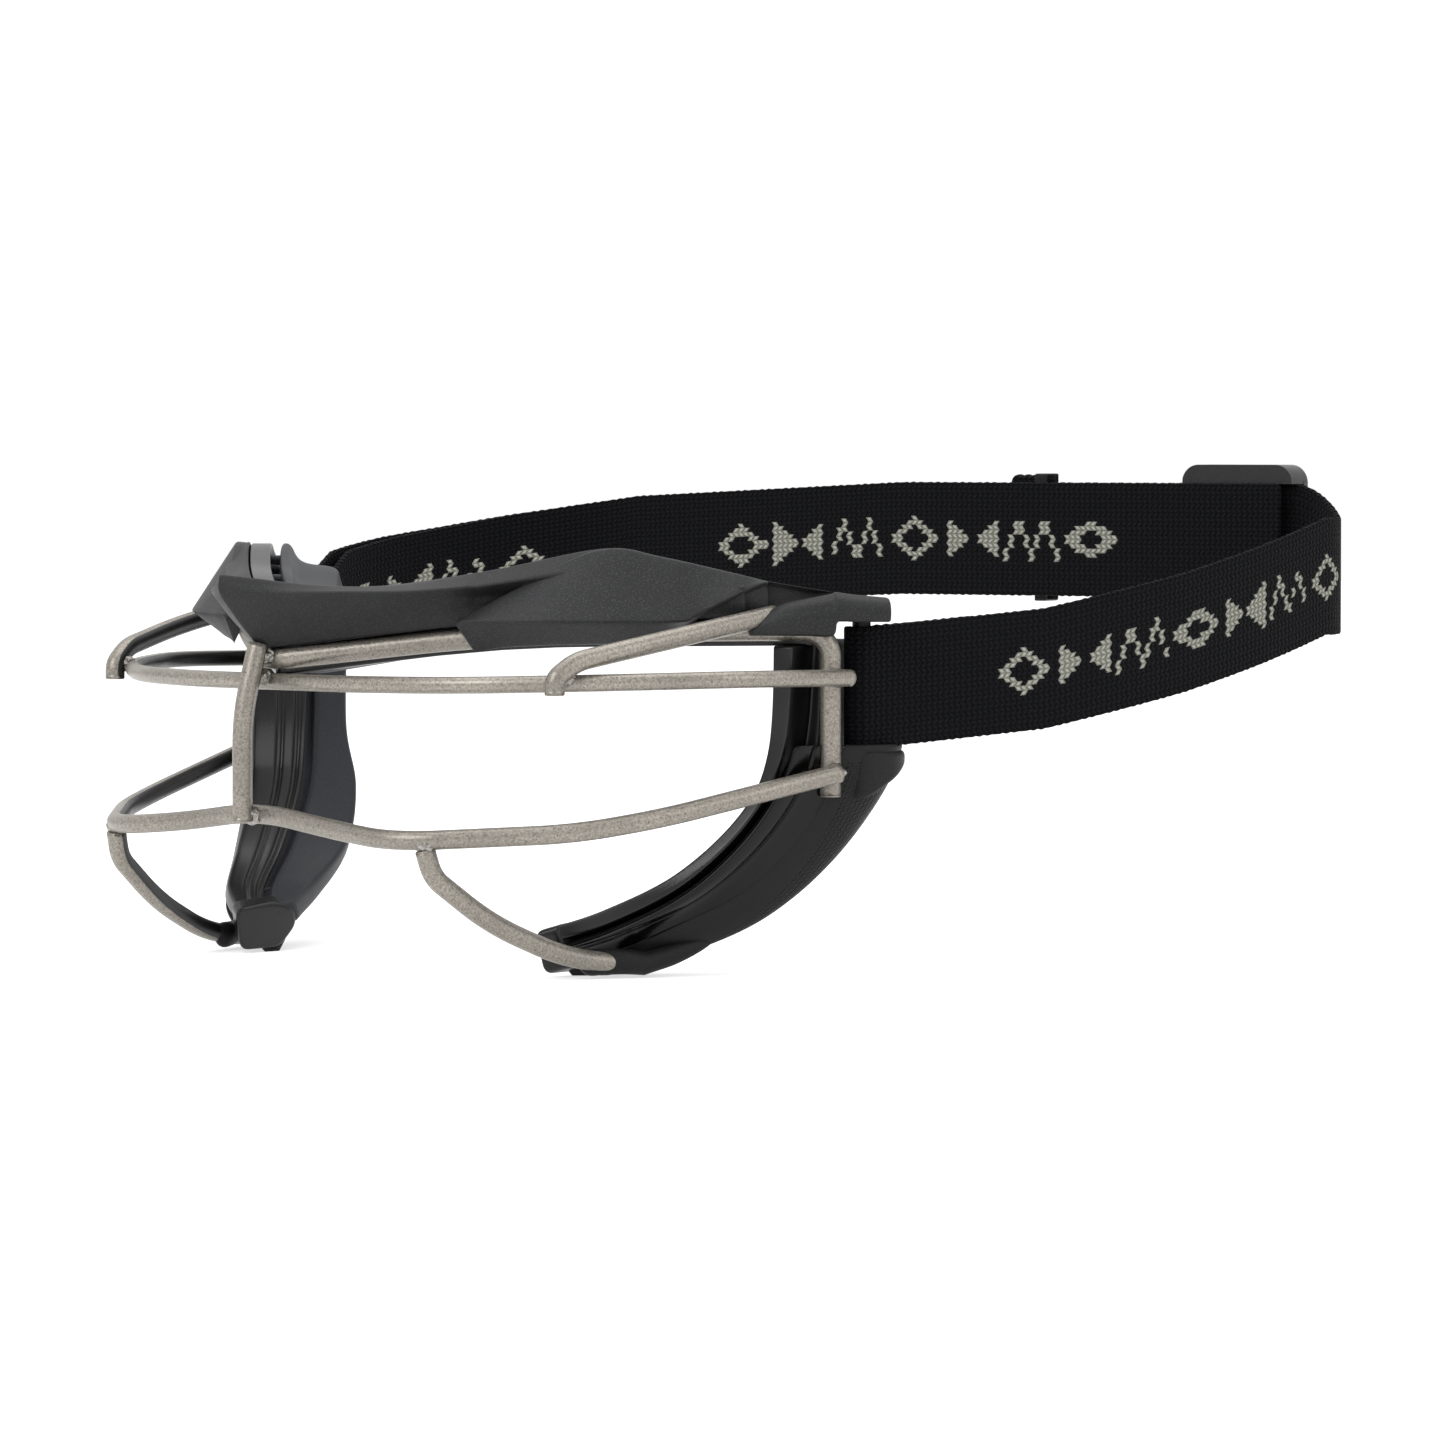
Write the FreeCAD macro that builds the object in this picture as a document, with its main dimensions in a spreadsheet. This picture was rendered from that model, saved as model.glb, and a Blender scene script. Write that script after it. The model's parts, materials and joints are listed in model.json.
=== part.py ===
import FreeCAD, Part
import Sketcher
import math
import os
from types import SimpleNamespace

from FreeCAD import Placement, Rotation, Vector

# Wire-cage sports goggles with an elastic head strap.
# X points to the wearer's left, Y from the front of the cage to the back of the head, Z up.
# The goggles stand on the flat undersides of the two cheek shells, at Z zero, and the
# origin lies under the middle of the whole product, on the goggles' plane of symmetry.
# Shapes are worked out with the middle of the main rail at Y zero and the upper bar near
# Z zero. The placement of every sub-part then moves them over the origin.

LENGTHS = {
    # wires of the cage
    "rail_diameter": 4.4,
    "nose_bar_diameter": 4.2,
    "upper_bar_diameter": 3.5,
    "lower_bar_diameter": 4.0,
    "upper_strut_diameter": 4.1,
    "lower_strut_diameter": 4.2,
    "weld_gap": 0.15,
    # layout of the cage
    "temple_half_width": 88.5,
    "temple_depth": 76.5,
    "rail_peak_tangent": 6.0,
    "rail_corner_tangent": 5.5,
    "rail_middle_height": 4.5,
    "rail_temple_height": 11.0,
    "rail_socket_depth": 9.0,
    "nose_bar_rise": 3.2,
    "nose_bar_drop": 1.7,
    "nose_bar_bow": 4.2,
    "upper_bar_height": 0.1,
    "upper_bar_climb": 1.2,
    "lower_bar_drop": 26.8,
    "lower_bar_sag": 4.2,
    "lower_bar_climb": 8.6,
    "lower_bar_setback": 2.9,
    "bar_overhang": 1.6,
    "strut_weld_half_width": 67.5,
    "upper_strut_tail": 2.0,
    "upper_strut_reach": 9.0,
    "lower_strut_half_width": 49.2,
    "lower_strut_drop": 24.8,
    "lower_strut_depth": 48.0,
    "lower_strut_spread": 13.3,
    # moulded brow
    "brow_depth": 2.5,
    "brow_height": 8.5,
    "brow_crest": 9.1,
    "brow_overhang": 4.5,
    "brow_lip": 2.0,
    "seat_gap": 0.3,
    "wing_ridge": 12.0,
    "wing_lip": 5.0,
    "wing_drop": 2.4,
    "cap_floor": 13.6,
    "cap_depth": 10.0,
    "cap_reach": 5.4,
    "cap_lobe": 3.6,
    # inner frame and face pads
    "frame_wall": 3.0,
    "frame_floor_drop": 3.3,
    "brow_frame_depth": 3.2,
    "pad_slot": 2.0,
    "pad_post": 2.2,
    "brow_pad_depth": 11.0,
    "brow_pad_crown": 1.6,
    # cheeks
    "cheek_inset": 5.5,
    "cheek_tip_half_width": 48.5,
    "cheek_setback": 9.5,
    "cheek_tip_depth": 33.0,
    "cheek_top_height": 7.3,
    "cheek_drop": 57.8,
    "cheek_width": 19.5,
    "cheek_depth": 25.0,
    "cheek_shell_wall": 2.4,
    "cheek_pad_crown": 1.5,
    "lug_height": 8.0,
    "lug_gap": 0.3,
    "standing_height": 60.4,
    # strap, posts, slider and keeper ring
    "post_diameter": 3.8,
    "post_inset": 0.5,
    "post_setback": 9.5,
    "post_socket": 3.0,
    "strap_width": 25.4,
    "strap_thickness": 1.5,
    "strap_drop": 1.0,
    "strap_rise": 28.8,
    "strap_gap": 0.25,
    "strap_near_radius": 180.0,
    "strap_rear_radius": 18.0,
    "strap_tab_length": 24.0,
    "strap_blend_length": 34.0,
    "strap_level_length": 96.0,
    "return_start": 1.5,
    "slider_centre": 12.0,
    "slider_length": 27.0,
    "slider_rail": 3.4,
    "slider_bar": 2.0,
    "slider_bar_width": 4.0,
    "slider_end_bar_width": 3.5,
    "slider_corner": 4.0,
    "running_gap": 0.3,
    "edge_gap": 0.6,
    "keeper_centre": 61.5,
    "keeper_length": 3.0,
    "keeper_wall": 1.3,
    "tail_start": 1.5,
    "hem_length": 6.5,
    "hem_thickness": 3.2,
    "hem_gap": 1.2,
    # cutting
    "overrun": 5.0,
}

# Places that follow the temples and the strap, as formulas of the sheet.
FOLLOWING = {
    "lug_top_drop": "strap_width / 2 + strap_drop + lug_gap",
    "cheek_top_half_width": "temple_half_width - cheek_inset",
    "cheek_top_depth": "temple_depth - cheek_setback",
    "post_half_spacing": "temple_half_width - post_inset",
    "post_depth": "temple_depth + post_setback",
}

ANGLES = {
    "brow_start_heading": 31.0,
    "strap_near_heading": 60.0,
    "strap_near_turn": 39.5,
    "strap_run_heading": 195.0,
    "strap_far_heading": 326.0,
}

# Bars of one side as rows of half width and depth, each a share of the way to the temple,
# with the shares of the bar's climb there, or of the lower bar's sag and then of its climb.
UPPER_BAR_SHARES = ((0.26, 0.0), (0.54, 0.07), (0.81, 0.31), (1.0, 0.66), (1.0, 1.0))
UPPER_CLIMB_SHARES = (0.0, 0.2, 0.8, 1.3, 1.0)
LOWER_BAR_SHARES = ((0.26, 0.0), (0.48, -0.028), (0.768, 0.298), (0.861, 0.51), (0.994, 1.0))
LOWER_SAG_SHARES = (-0.24, -1.0, -0.63)
LOWER_CLIMB_SHARES = (0.03, 1.0)

# The main rail leaves the brow line at these shares, from the temple to the middle.
RAIL_CORNER_SHARES = (1.0, 0.8, 0.42)
RAIL_HEIGHT_SHARES = ((0.0, 0.0), (0.42, 0.86), (0.8, 1.0), (1.2, 1.0))

# Upper strut: place of its root along the brow line and height of the root over the cap's
# floor as a share of its own diameter. Lower strut: rows of spread, depth and fall.
STRUT_ROOT_SHARE = 0.875
STRUT_ROOT_RISE_SHARE = 0.39
LOWER_STRUT_SHARES = ((0.0, 0.0, 0.0), (0.05, 0.03, 0.22), (0.29, 0.3, 0.62), (0.62, 0.66, 0.93), (1.0, 1.0, 1.0))

# How far along the brow line, to each side of the middle, the brow's sections stand, with
# the height of the crest there, and the height of the crease as a share of the face.
BROW_CREST_SHARES = ((0.0, 0.0), (0.2, 0.14), (0.4, 0.5), (0.6, 1.0), (0.7, 0.82), (0.84, 0.41))
BROW_CREASE_SHARE = 0.72
BROW_NORMAL_BLEND_SHARE = 0.3
BROW_POST_SHARES = (-0.7, -0.42, -0.14, 0.14, 0.42, 0.7)

# Wing sections: place along the brow line, ridge, top height as a share of the crease and
# how far the lower edge climbs to the top.
WING_STATION_SHARES = (
    (0.395, 0.34, 0.06, 0.0), (0.45, 0.6, 0.5, 0.0), (0.55, 0.9, 1.15, 0.0),
    (0.62, 1.0, 1.3, 0.0), (0.72, 0.8, 1.25, 0.25), (0.8, 0.5, 1.2, 0.75),
)
WING_RIDGE_HEIGHT_SHARE = 0.4

# Temple cap sections: place along the brow line, height of the top, and how far the lobe
# hangs down in front of the rail. The lobe never quite ends.
CAP_STATION_SHARES = ((0.845, 0.98, 1.0), (0.93, 0.79, 1.0), (1.0, 0.63, 1.0), (1.03, 0.56, 0.0), (1.095, 0.48, 0.0))
CAP_LOBE_END_SHARE = 0.05

# Rows from the top of the cheek to its tip: half width, depth and drop of the front edge
# as shares of the way from tip to top, roll of the section, heading of its depth, and as
# shares of the cheek: width of the shell, width of the frame, depth of the shell, width of
# the shell at its back, and depth of the pad.
CHEEK_STATION_SHARES = (
    (1.0, 1.0, 0.0, 0.0, 107.5, 1.0, 0.49, 1.0, 0.92, 0.92),
    (0.962, 0.962, 0.36, 0.0, 107.5, 1.0, 0.61, 1.0, 0.9, 0.92),
    (0.835, 0.835, 0.585, 8.0, 107.5, 0.97, 0.7, 0.96, 0.84, 1.03),
    (0.609, 0.53, 0.794, 38.0, 103.0, 0.8, 0.58, 0.9, 0.66, 1.11),
    (0.319, 0.19, 0.927, 66.0, 98.0, 0.64, 0.46, 0.78, 0.58, 0.97),
    (0.0, 0.0, 1.0, 86.0, 90.0, 0.6, 0.4, 0.56, 0.55, 0.69),
)

# Outline of the cheek's shell as shares of its depth and width, between its start at the
# frame and its back. The lug's outline is a share of the top row's depth and width.
CHEEK_OUTLINE_SHARES = ((0.3, 0.46), (0.55, 0.84), (0.8, 1.0))
CHEEK_BACK_SHARE = 1.04
LUG_OUTLINE_SHARES = ((0.46, 0.56), (0.3, 0.72), (0.38, 0.86), (0.68, 0.98), (1.03, 0.9), (1.06, 0.62), (0.56, 0.55))
CHEEK_FLANGE_SHARE = 0.5
CHEEK_PAD_SHARE = 0.7
CHEEK_POST_SHARES = (0.25, 0.75)

# Strap height along the loop: place as a share of each stretch, height as a share of the rise.
NEAR_RISE_SHARES = ((0.0, 0.0), (0.33, 0.12), (0.62, 0.32), (1.0, 0.8))
FAR_RISE_SHARES = ((0.0, 0.88), (0.145, 0.806), (0.28, 0.73), (0.43, 0.63), (0.57, 0.55), (0.72, 0.45), (0.92, 0.03), (1.0, 0.0))

ROUNDING_SHARE = 0.45

# Sections between two rows of a table, and along one stretch of the strap.
SECTIONS_PER_ROW = 3
STRAP_SECTIONS = 12


def make_sheet(doc):
    """Fill the spreadsheet with every driving size and return the sizes as plain numbers."""
    sheet = doc.addObject("Spreadsheet::Sheet", "sizes")
    cells = {**LENGTHS, **ANGLES, **{alias: f"={formula}" for alias, formula in FOLLOWING.items()}}
    for row, (alias, value) in enumerate(cells.items(), start=1):
        sheet.set(f"A{row}", alias.replace("_", " "))
        sheet.set(f"B{row}", str(value))
        sheet.setAlias(f"B{row}", alias)
    doc.recompute()
    return SimpleNamespace(**{alias: float(sheet.get(alias)) for alias in cells})


def heading_vector(degrees):
    """Level unit vector whose angle from the X axis is the heading."""
    return Vector(math.cos(math.radians(degrees)), math.sin(math.radians(degrees)), 0)


def right_of(degrees):
    """Level unit vector that points to the right of someone who walks along the heading."""
    return heading_vector(degrees - 90)


def blend(rows, place):
    """Height at a place between rows of (place, height)."""
    for (start, low), (end, high) in zip(rows, rows[1:]):
        if place <= end:
            part = max(0.0, (place - start) / (end - start))
            return low + (high - low) * part
    return rows[-1][1]


def rounded_path(points, tangents=None):
    """Wire of straight runs joined by tangent arcs, one arc at each inner point."""
    tangents = tangents or {}
    edges = []
    cursor = points[0]
    for index in range(1, len(points) - 1):
        corner = points[index]
        before = corner - points[index - 1]
        after = points[index + 1] - corner
        turn = before.getAngle(after)
        if turn < 1e-4:
            continue
        tangent = tangents.get(index, ROUNDING_SHARE * min(before.Length, after.Length))
        arc_start = corner - before.normalize() * tangent
        arc_end = corner + after.normalize() * tangent
        inward = (after - before).normalize()
        radius = tangent / math.tan(turn / 2)
        arc_middle = corner + inward * (radius / math.cos(turn / 2) - radius)
        edges.append(Part.LineSegment(cursor, arc_start).toShape())
        edges.append(Part.Arc(arc_start, arc_middle, arc_end).toShape())
        cursor = arc_end
    edges.append(Part.LineSegment(cursor, points[-1]).toShape())
    return Part.Wire(edges)


def tube(path, diameter):
    """Round bar along a path."""
    first = path.Edges[0]
    start = first.valueAt(first.FirstParameter)
    direction = first.tangentAt(first.FirstParameter)
    profile = Part.Wire(Part.makeCircle(diameter / 2, start, direction))
    return path.makePipeShell([profile], True, False)


def smooth_rows(rows):
    """Rows of numbers with further rows between them, on a cubic curve through the given ones."""
    filled = []
    last = len(rows) - 1
    for index in range(last):
        before, start, end, after = (rows[min(max(index + step, 0), last)] for step in (-1, 0, 1, 2))
        for step in range(SECTIONS_PER_ROW):
            t = step / SECTIONS_PER_ROW
            weights = (
                (2 * t ** 2 - t ** 3 - t) / 2, (3 * t ** 3 - 5 * t ** 2 + 2) / 2,
                (t + 4 * t ** 2 - 3 * t ** 3) / 2, (t ** 3 - t ** 2) / 2,
            )
            filled.append(tuple(sum(w * v for w, v in zip(weights, column)) for column in zip(before, start, end, after)))
    return filled + [rows[last]]


def loft(sections):
    """Solid through closed outlines, with straight runs from each outline to the next."""
    return Part.makeLoft([Part.makePolygon(points + points[:1]) for points in sections], True, True)


def nearest_on(path, target):
    """Point of a path that lies nearest to a target, and the path's direction there."""
    point = path.distToShape(Part.Vertex(target))[1][0][0]
    for edge in path.Edges:
        if edge.distToShape(Part.Vertex(point))[0] < 1e-6:
            return point, edge.tangentAt(edge.Curve.parameter(point))
    raise ValueError("the path has no edge at that point")


def mirrored(shape):
    """The same piece on the wearer's other side."""
    return shape.mirror(Vector(0, 0, 0), Vector(1, 0, 0))


def one_solid(shape):
    """The largest solid of a cut result."""
    return max(shape.Solids, key=lambda solid: solid.Volume)


def cleared(shape, *tools):
    """The largest piece of a solid after each tool in turn is cut from it."""
    for tool in tools:
        shape = one_solid(shape.cut(tool))
    return shape


class BrowLine:
    """Plan curve of the brow: an arc to each temple, which meet in a blunt V in the middle."""

    def __init__(self, size):
        chord = Vector(size.temple_half_width, size.temple_depth, 0)
        chord_heading = math.degrees(math.atan2(chord.y, chord.x))
        self.size = size
        self.start = size.brow_start_heading
        self.end = 2 * chord_heading - self.start
        self.radius = chord.Length / (2 * math.sin(math.radians(chord_heading - self.start)))

    def rail_height(self, share):
        """Height of the main rail's middle at a share of the way to the temple."""
        size = self.size
        climb = size.rail_temple_height - size.rail_middle_height
        return size.rail_middle_height + climb * blend(smooth_rows(RAIL_HEIGHT_SHARES), abs(share))

    def at(self, share, out, height):
        """Point at a share along the line, so far out from it and at that height."""
        side = -1 if share < 0 else 1
        heading = self.start + (self.end - self.start) * abs(share)
        start = math.radians(self.start)
        now = math.radians(heading)
        x = self.radius * (math.sin(now) - math.sin(start))
        y = self.radius * (math.cos(start) - math.cos(now))
        turned = min(1.0, abs(share) / BROW_NORMAL_BLEND_SHARE) * heading
        normal = right_of(turned)
        return Vector(side * (x + out * normal.x), y + out * normal.y, height)

    def shell_floor(self, share):
        """Height of the brow shell's lower edge, just over the rail."""
        return self.rail_height(share) + self.size.rail_diameter / 2 + self.size.seat_gap

    def shell_top(self, share):
        """Height of the brow shell's top edge."""
        crest = blend(smooth_rows(BROW_CREST_SHARES), abs(share))
        size = self.size
        middle_top = size.rail_middle_height + size.rail_diameter / 2 + size.seat_gap
        base = max(middle_top + size.brow_height + size.nose_bar_rise, self.shell_floor(share) + size.frame_wall)
        return base + size.brow_crest * crest

    def shell_face(self, share, height):
        """How far out the brow shell's front face stands at a height."""
        size = self.size
        floor = self.shell_floor(share)
        crease = floor + BROW_CREASE_SHARE * (self.shell_top(share) - floor)
        part = min(1.0, max(0.0, (height - floor) / (crease - floor)))
        return size.brow_lip + (size.brow_overhang - size.brow_lip) * part


def brow_stations():
    """Shares of the brow's sections from one temple to the other."""
    near = [share for share, _ in smooth_rows(BROW_CREST_SHARES)]
    return [-share for share in reversed(near[1:])] + near


def cage_paths(size, line):
    """Middle lines of the welded wires."""
    half = [line.at(share, 0, line.rail_height(share)) for share in RAIL_CORNER_SHARES]
    foot = Vector(half[0].x, half[0].y, -size.lug_top_drop - size.rail_socket_depth)
    near = [foot] + half
    far = [Vector(-point.x, point.y, point.z) for point in reversed(near)]
    middle = [Vector(0, 0, size.rail_middle_height)]
    corner = size.rail_corner_tangent
    rail = rounded_path(near + middle + far, {1: corner, len(near): size.rail_peak_tangent, 2 * len(near) - 1: corner})

    peak = nearest_on(rail, Vector(0, -size.temple_depth, size.rail_middle_height))[0]
    nose_top = peak.y - (size.rail_diameter + size.nose_bar_diameter) / 2 - size.weld_gap
    nose_front = nose_top - size.nose_bar_bow
    drop = size.lower_bar_drop
    nose = rounded_path([
        Vector(0, nose_top, size.rail_middle_height + size.nose_bar_rise),
        Vector(0, nose_front, -drop / 4),
        Vector(0, nose_front, -3 * drop / 4),
        Vector(0, nose_front, -drop - size.nose_bar_drop),
    ])

    def bar(height, diameter, setback, rows, heights):
        front = nearest_on(nose, Vector(0, size.temple_depth, height))[0].y
        front += (size.nose_bar_diameter + diameter) / 2 + size.weld_gap
        side = size.temple_half_width + (size.rail_diameter + diameter) / 2 + size.weld_gap
        back = size.temple_depth + size.bar_overhang - setback
        near_points = [
            Vector(side * wide, front + (back - front) * deep, height + rise)
            for (wide, deep), rise in zip(rows, heights)
        ]
        far_points = [Vector(-point.x, point.y, point.z) for point in reversed(near_points)]
        return rounded_path(far_points + near_points)

    upper_heights = [share * size.upper_bar_climb for share in UPPER_CLIMB_SHARES]
    upper = bar(size.upper_bar_height, size.upper_bar_diameter, 0, UPPER_BAR_SHARES, upper_heights)
    lower_heights = [share * size.lower_bar_sag for share in LOWER_SAG_SHARES]
    lower_heights += [share * size.lower_bar_climb for share in LOWER_CLIMB_SHARES]
    lower = bar(-drop, size.lower_bar_diameter, size.lower_bar_setback, LOWER_BAR_SHARES, lower_heights)

    weld, along = nearest_on(upper, Vector(size.strut_weld_half_width, size.temple_depth / 4, size.upper_bar_height))
    outward = Vector(abs(along.y), -abs(along.x), 0).normalize()
    apart = (size.upper_bar_diameter + size.upper_strut_diameter) / 2 + size.weld_gap
    lap = weld + outward * apart
    root_height = size.cap_floor + size.upper_strut_diameter * STRUT_ROOT_RISE_SHARE
    root = line.at(STRUT_ROOT_SHARE, size.cap_reach / 2, root_height)
    half_reach = size.upper_strut_reach / 2
    knee = lap + Vector(size.upper_strut_diameter / 3, half_reach, half_reach)
    reach = root - knee
    upper_strut = rounded_path([
        lap - Vector(0, 0, size.upper_strut_tail),
        lap + Vector(0, 0, size.upper_strut_diameter / 4),
        knee,
        knee + reach * 0.5 + outward * size.upper_strut_reach / 3,
        root,
    ])

    low = nearest_on(lower, Vector(size.lower_strut_half_width, 0, -drop))[0]
    start = low - Vector(0, 0, size.lower_bar_diameter / 2 + size.weld_gap)
    spread, depth, fall = size.lower_strut_spread, size.lower_strut_depth, size.lower_strut_drop
    lower_strut = rounded_path([
        start + Vector(spread * wide, depth * deep, -fall * down) for wide, deep, down in LOWER_STRUT_SHARES
    ])
    return SimpleNamespace(
        rail=rail, nose=nose, upper=upper, lower=lower, upper_strut=upper_strut, lower_strut=lower_strut,
    )


def cage_wires(size, paths):
    """The welded wires as round bars."""
    return {
        "main_rail": tube(paths.rail, size.rail_diameter),
        "nose_bar": tube(paths.nose, size.nose_bar_diameter),
        "upper_bar": tube(paths.upper, size.upper_bar_diameter),
        "lower_bar": tube(paths.lower, size.lower_bar_diameter),
        "upper_strut_left": tube(paths.upper_strut, size.upper_strut_diameter),
        "upper_strut_right": mirrored(tube(paths.upper_strut, size.upper_strut_diameter)),
        "lower_strut_left": tube(paths.lower_strut, size.lower_strut_diameter),
        "lower_strut_right": mirrored(tube(paths.lower_strut, size.lower_strut_diameter)),
    }


def brow_shell(size, line):
    """Moulded brow: front face over the rail, sharp crease and a top that falls to the back."""
    sections = []
    for share in brow_stations():
        floor = line.shell_floor(share)
        top = line.shell_top(share)
        crease = floor + BROW_CREASE_SHARE * (top - floor)
        outline = (
            (size.brow_lip, floor),
            (size.brow_overhang, crease),
            (0, top),
            (-size.brow_depth, top),
            (-size.brow_depth, floor),
        )
        sections.append([line.at(share, out, height) for out, height in outline])
    return loft(sections)


def wing_panel(size, line):
    """Raised side panel of the brow with one ridge along it, before its back is cut to fit."""
    sections = []
    for share, ridge, rise, climb in smooth_rows(WING_STATION_SHARES):
        floor = line.shell_floor(share)
        top = floor + (line.shell_top(share) - floor) * BROW_CREASE_SHARE * rise + size.seat_gap
        lowest = line.rail_height(share) - size.wing_drop
        bottom = lowest + (top - lowest) * max(0.0, climb)
        behind_rail = size.rail_diameter / 2 + size.seat_gap
        face = line.shell_face(share, top)
        front = max(size.wing_ridge * ridge, face + size.seat_gap + size.frame_wall / 4)
        outline = (
            (behind_rail, bottom),
            (max(behind_rail, size.wing_lip * ridge), bottom - size.seat_gap),
            (front, bottom + (top - bottom) * WING_RIDGE_HEIGHT_SHARE),
            (face / 2, top),
            (0, top - size.seat_gap),
            (0, floor + size.seat_gap),
        )
        sections.append([line.at(share, out, height) for out, height in outline])
    return loft(sections)


def temple_cap(size, line):
    """End cap of the brow, which holds the upper end of the strap post."""
    rise = line.shell_top(CAP_STATION_SHARES[0][0]) - size.cap_floor
    sections = []
    inner = size.rail_diameter / 2 + size.seat_gap
    for share, tall, hang in smooth_rows(CAP_STATION_SHARES):
        top = size.cap_floor + rise * tall
        low = size.cap_floor - size.cap_lobe * max(hang, CAP_LOBE_END_SHARE)
        outline = (
            (inner, low),
            (size.cap_reach, low),
            (size.cap_reach, size.cap_floor + rise * tall / 2),
            (0, top),
            (-size.cap_depth, top - size.seat_gap),
            (-size.cap_depth, size.cap_floor),
            (inner, size.cap_floor),
        )
        sections.append([line.at(share, out, height) for out, height in outline])
    return loft(sections)


def brow_frame(size, line):
    """Inner frame of the brow: a floor behind the rail and a wall behind the shell."""
    sections = []
    for share in brow_stations():
        low = line.rail_height(share) - size.frame_floor_drop
        floor = line.shell_floor(share) - size.seat_gap
        top = line.shell_top(share) - size.seat_gap
        front = -size.rail_diameter / 2 - size.seat_gap
        wall = -size.brow_depth - size.seat_gap
        back = wall - size.brow_frame_depth
        outline = ((front, low), (front, floor), (wall, floor), (wall, top), (back, top), (back, low))
        sections.append([line.at(share, out, height) for out, height in outline])
    return loft(sections)


def brow_pad(size, line):
    """Cushion behind the brow frame, crowned towards the forehead."""
    sections = []
    front = -size.brow_depth - size.seat_gap - size.brow_frame_depth - size.pad_slot
    back = front - size.brow_pad_depth
    for share in brow_stations():
        low = line.rail_height(share) - size.frame_floor_drop + size.seat_gap
        top = line.shell_top(share) - size.seat_gap
        middle = (low + top) / 2
        crown = size.brow_pad_crown
        outline = (
            (front, low + crown), (front, top - crown), (front - crown * 2, top),
            (back + crown, top - crown), (back, middle), (back + crown, low + crown), (front - crown * 2, low),
        )
        sections.append([line.at(share, out, height) for out, height in outline])
    return loft(sections)


def pad_post(size, start, along, reach):
    """Square post between a frame and its pad."""
    side = Vector(0, 0, 1).cross(along).normalize() * (size.pad_post / 2)
    up = along.cross(side).normalize() * (size.pad_post / 2)
    corners = [start - side - up, start + side - up, start + side + up, start - side + up]
    return Part.Face(Part.makePolygon(corners + corners[:1])).extrude(along.normalize() * reach)


def brow_posts(size, line, frame, pad):
    """Short posts that carry the brow pad off its frame."""
    posts = []
    for share in BROW_POST_SHARES:
        back = -size.brow_depth - size.seat_gap - size.brow_frame_depth
        height = (line.shell_floor(share) + line.shell_top(share)) / 2
        start = line.at(share, back + size.frame_wall / 2, height)
        end = line.at(share, back - size.pad_slot - size.brow_pad_crown, height)
        post = pad_post(size, start, end - start, (end - start).Length)
        posts.append(one_solid(post.cut([frame, pad])))
    return Part.makeCompound(posts)


class CheekStation:
    """Local frame of one cheek section: depth runs to the face, width to the outside."""

    def __init__(self, size, row):
        wide, deep, down, roll, heading, shell, frame, depth, back, pad = row
        tip = size.cheek_tip_half_width
        front = size.cheek_tip_depth
        self.origin = Vector(
            tip + (size.cheek_top_half_width - tip) * wide,
            front + (size.cheek_top_depth - front) * deep,
            size.cheek_top_height - size.cheek_drop * down,
        )
        self.along = heading_vector(heading)
        across = right_of(heading)
        rolled = math.radians(roll)
        self.across = across * math.cos(rolled) - Vector(0, 0, 1) * math.sin(rolled)
        self.shell_width = size.cheek_width * shell
        self.frame_width = size.cheek_width * frame
        self.depth = size.cheek_depth * depth
        self.back_width = self.shell_width * back
        self.pad_depth = size.cheek_depth * pad

    def at(self, depth, width):
        """Point of the section."""
        return self.origin + self.along * depth + self.across * width


def cheek_stations(size, first=0):
    """Sections of the cheek from the first row on to the tip."""
    return [CheekStation(size, row) for row in smooth_rows(CHEEK_STATION_SHARES)[first * SECTIONS_PER_ROW:]]


def cheek_frame(size):
    """Inner frame of the cheek: a wall round the opening and a flange behind the pad."""
    sections = []
    for station in cheek_stations(size):
        flange = station.depth / 2
        wide = station.frame_width * CHEEK_FLANGE_SHARE
        outline = (
            (0, 0), (flange, 0), (flange, wide), (flange - size.frame_wall, wide),
            (flange - size.frame_wall, size.frame_wall), (0, size.frame_wall),
        )
        sections.append([station.at(depth, width) for depth, width in outline])
    return loft(sections)


def cheek_pad(size):
    """Cheek cushion, crowned towards the face."""
    sections = []
    crown = size.cheek_pad_crown
    for station in cheek_stations(size):
        front = station.depth / 2 + size.pad_slot
        back = station.pad_depth
        wide = station.frame_width * CHEEK_PAD_SHARE
        outline = (
            (front, crown), (front, wide - 2 * crown), (front + 2 * crown, wide - crown),
            (back - crown, wide - crown), (back + crown, wide / 2), (back - crown, -crown),
            ((front + back) / 2, -2 * crown),
        )
        sections.append([station.at(depth, width) for depth, width in outline])
    return loft(sections)


def cheek_posts(size, frame, pad):
    """Short posts that carry the cheek pad off its frame."""
    stations = cheek_stations(size)[::SECTIONS_PER_ROW]
    posts = []
    for first, second in zip(stations, stations[1:]):
        for share in CHEEK_POST_SHARES:
            start = first.at(first.depth / 2, first.frame_width / 4) * (1 - share)
            start += second.at(second.depth / 2, second.frame_width / 4) * share
            along = first.along * (1 - share) + second.along * share
            start -= along * (size.frame_wall / 2)
            reach = size.frame_wall / 2 + size.pad_slot + size.cheek_pad_crown
            post = pad_post(size, start, along, reach)
            posts.append(one_solid(post.cut([frame, pad])))
    return Part.makeCompound(posts)


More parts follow.
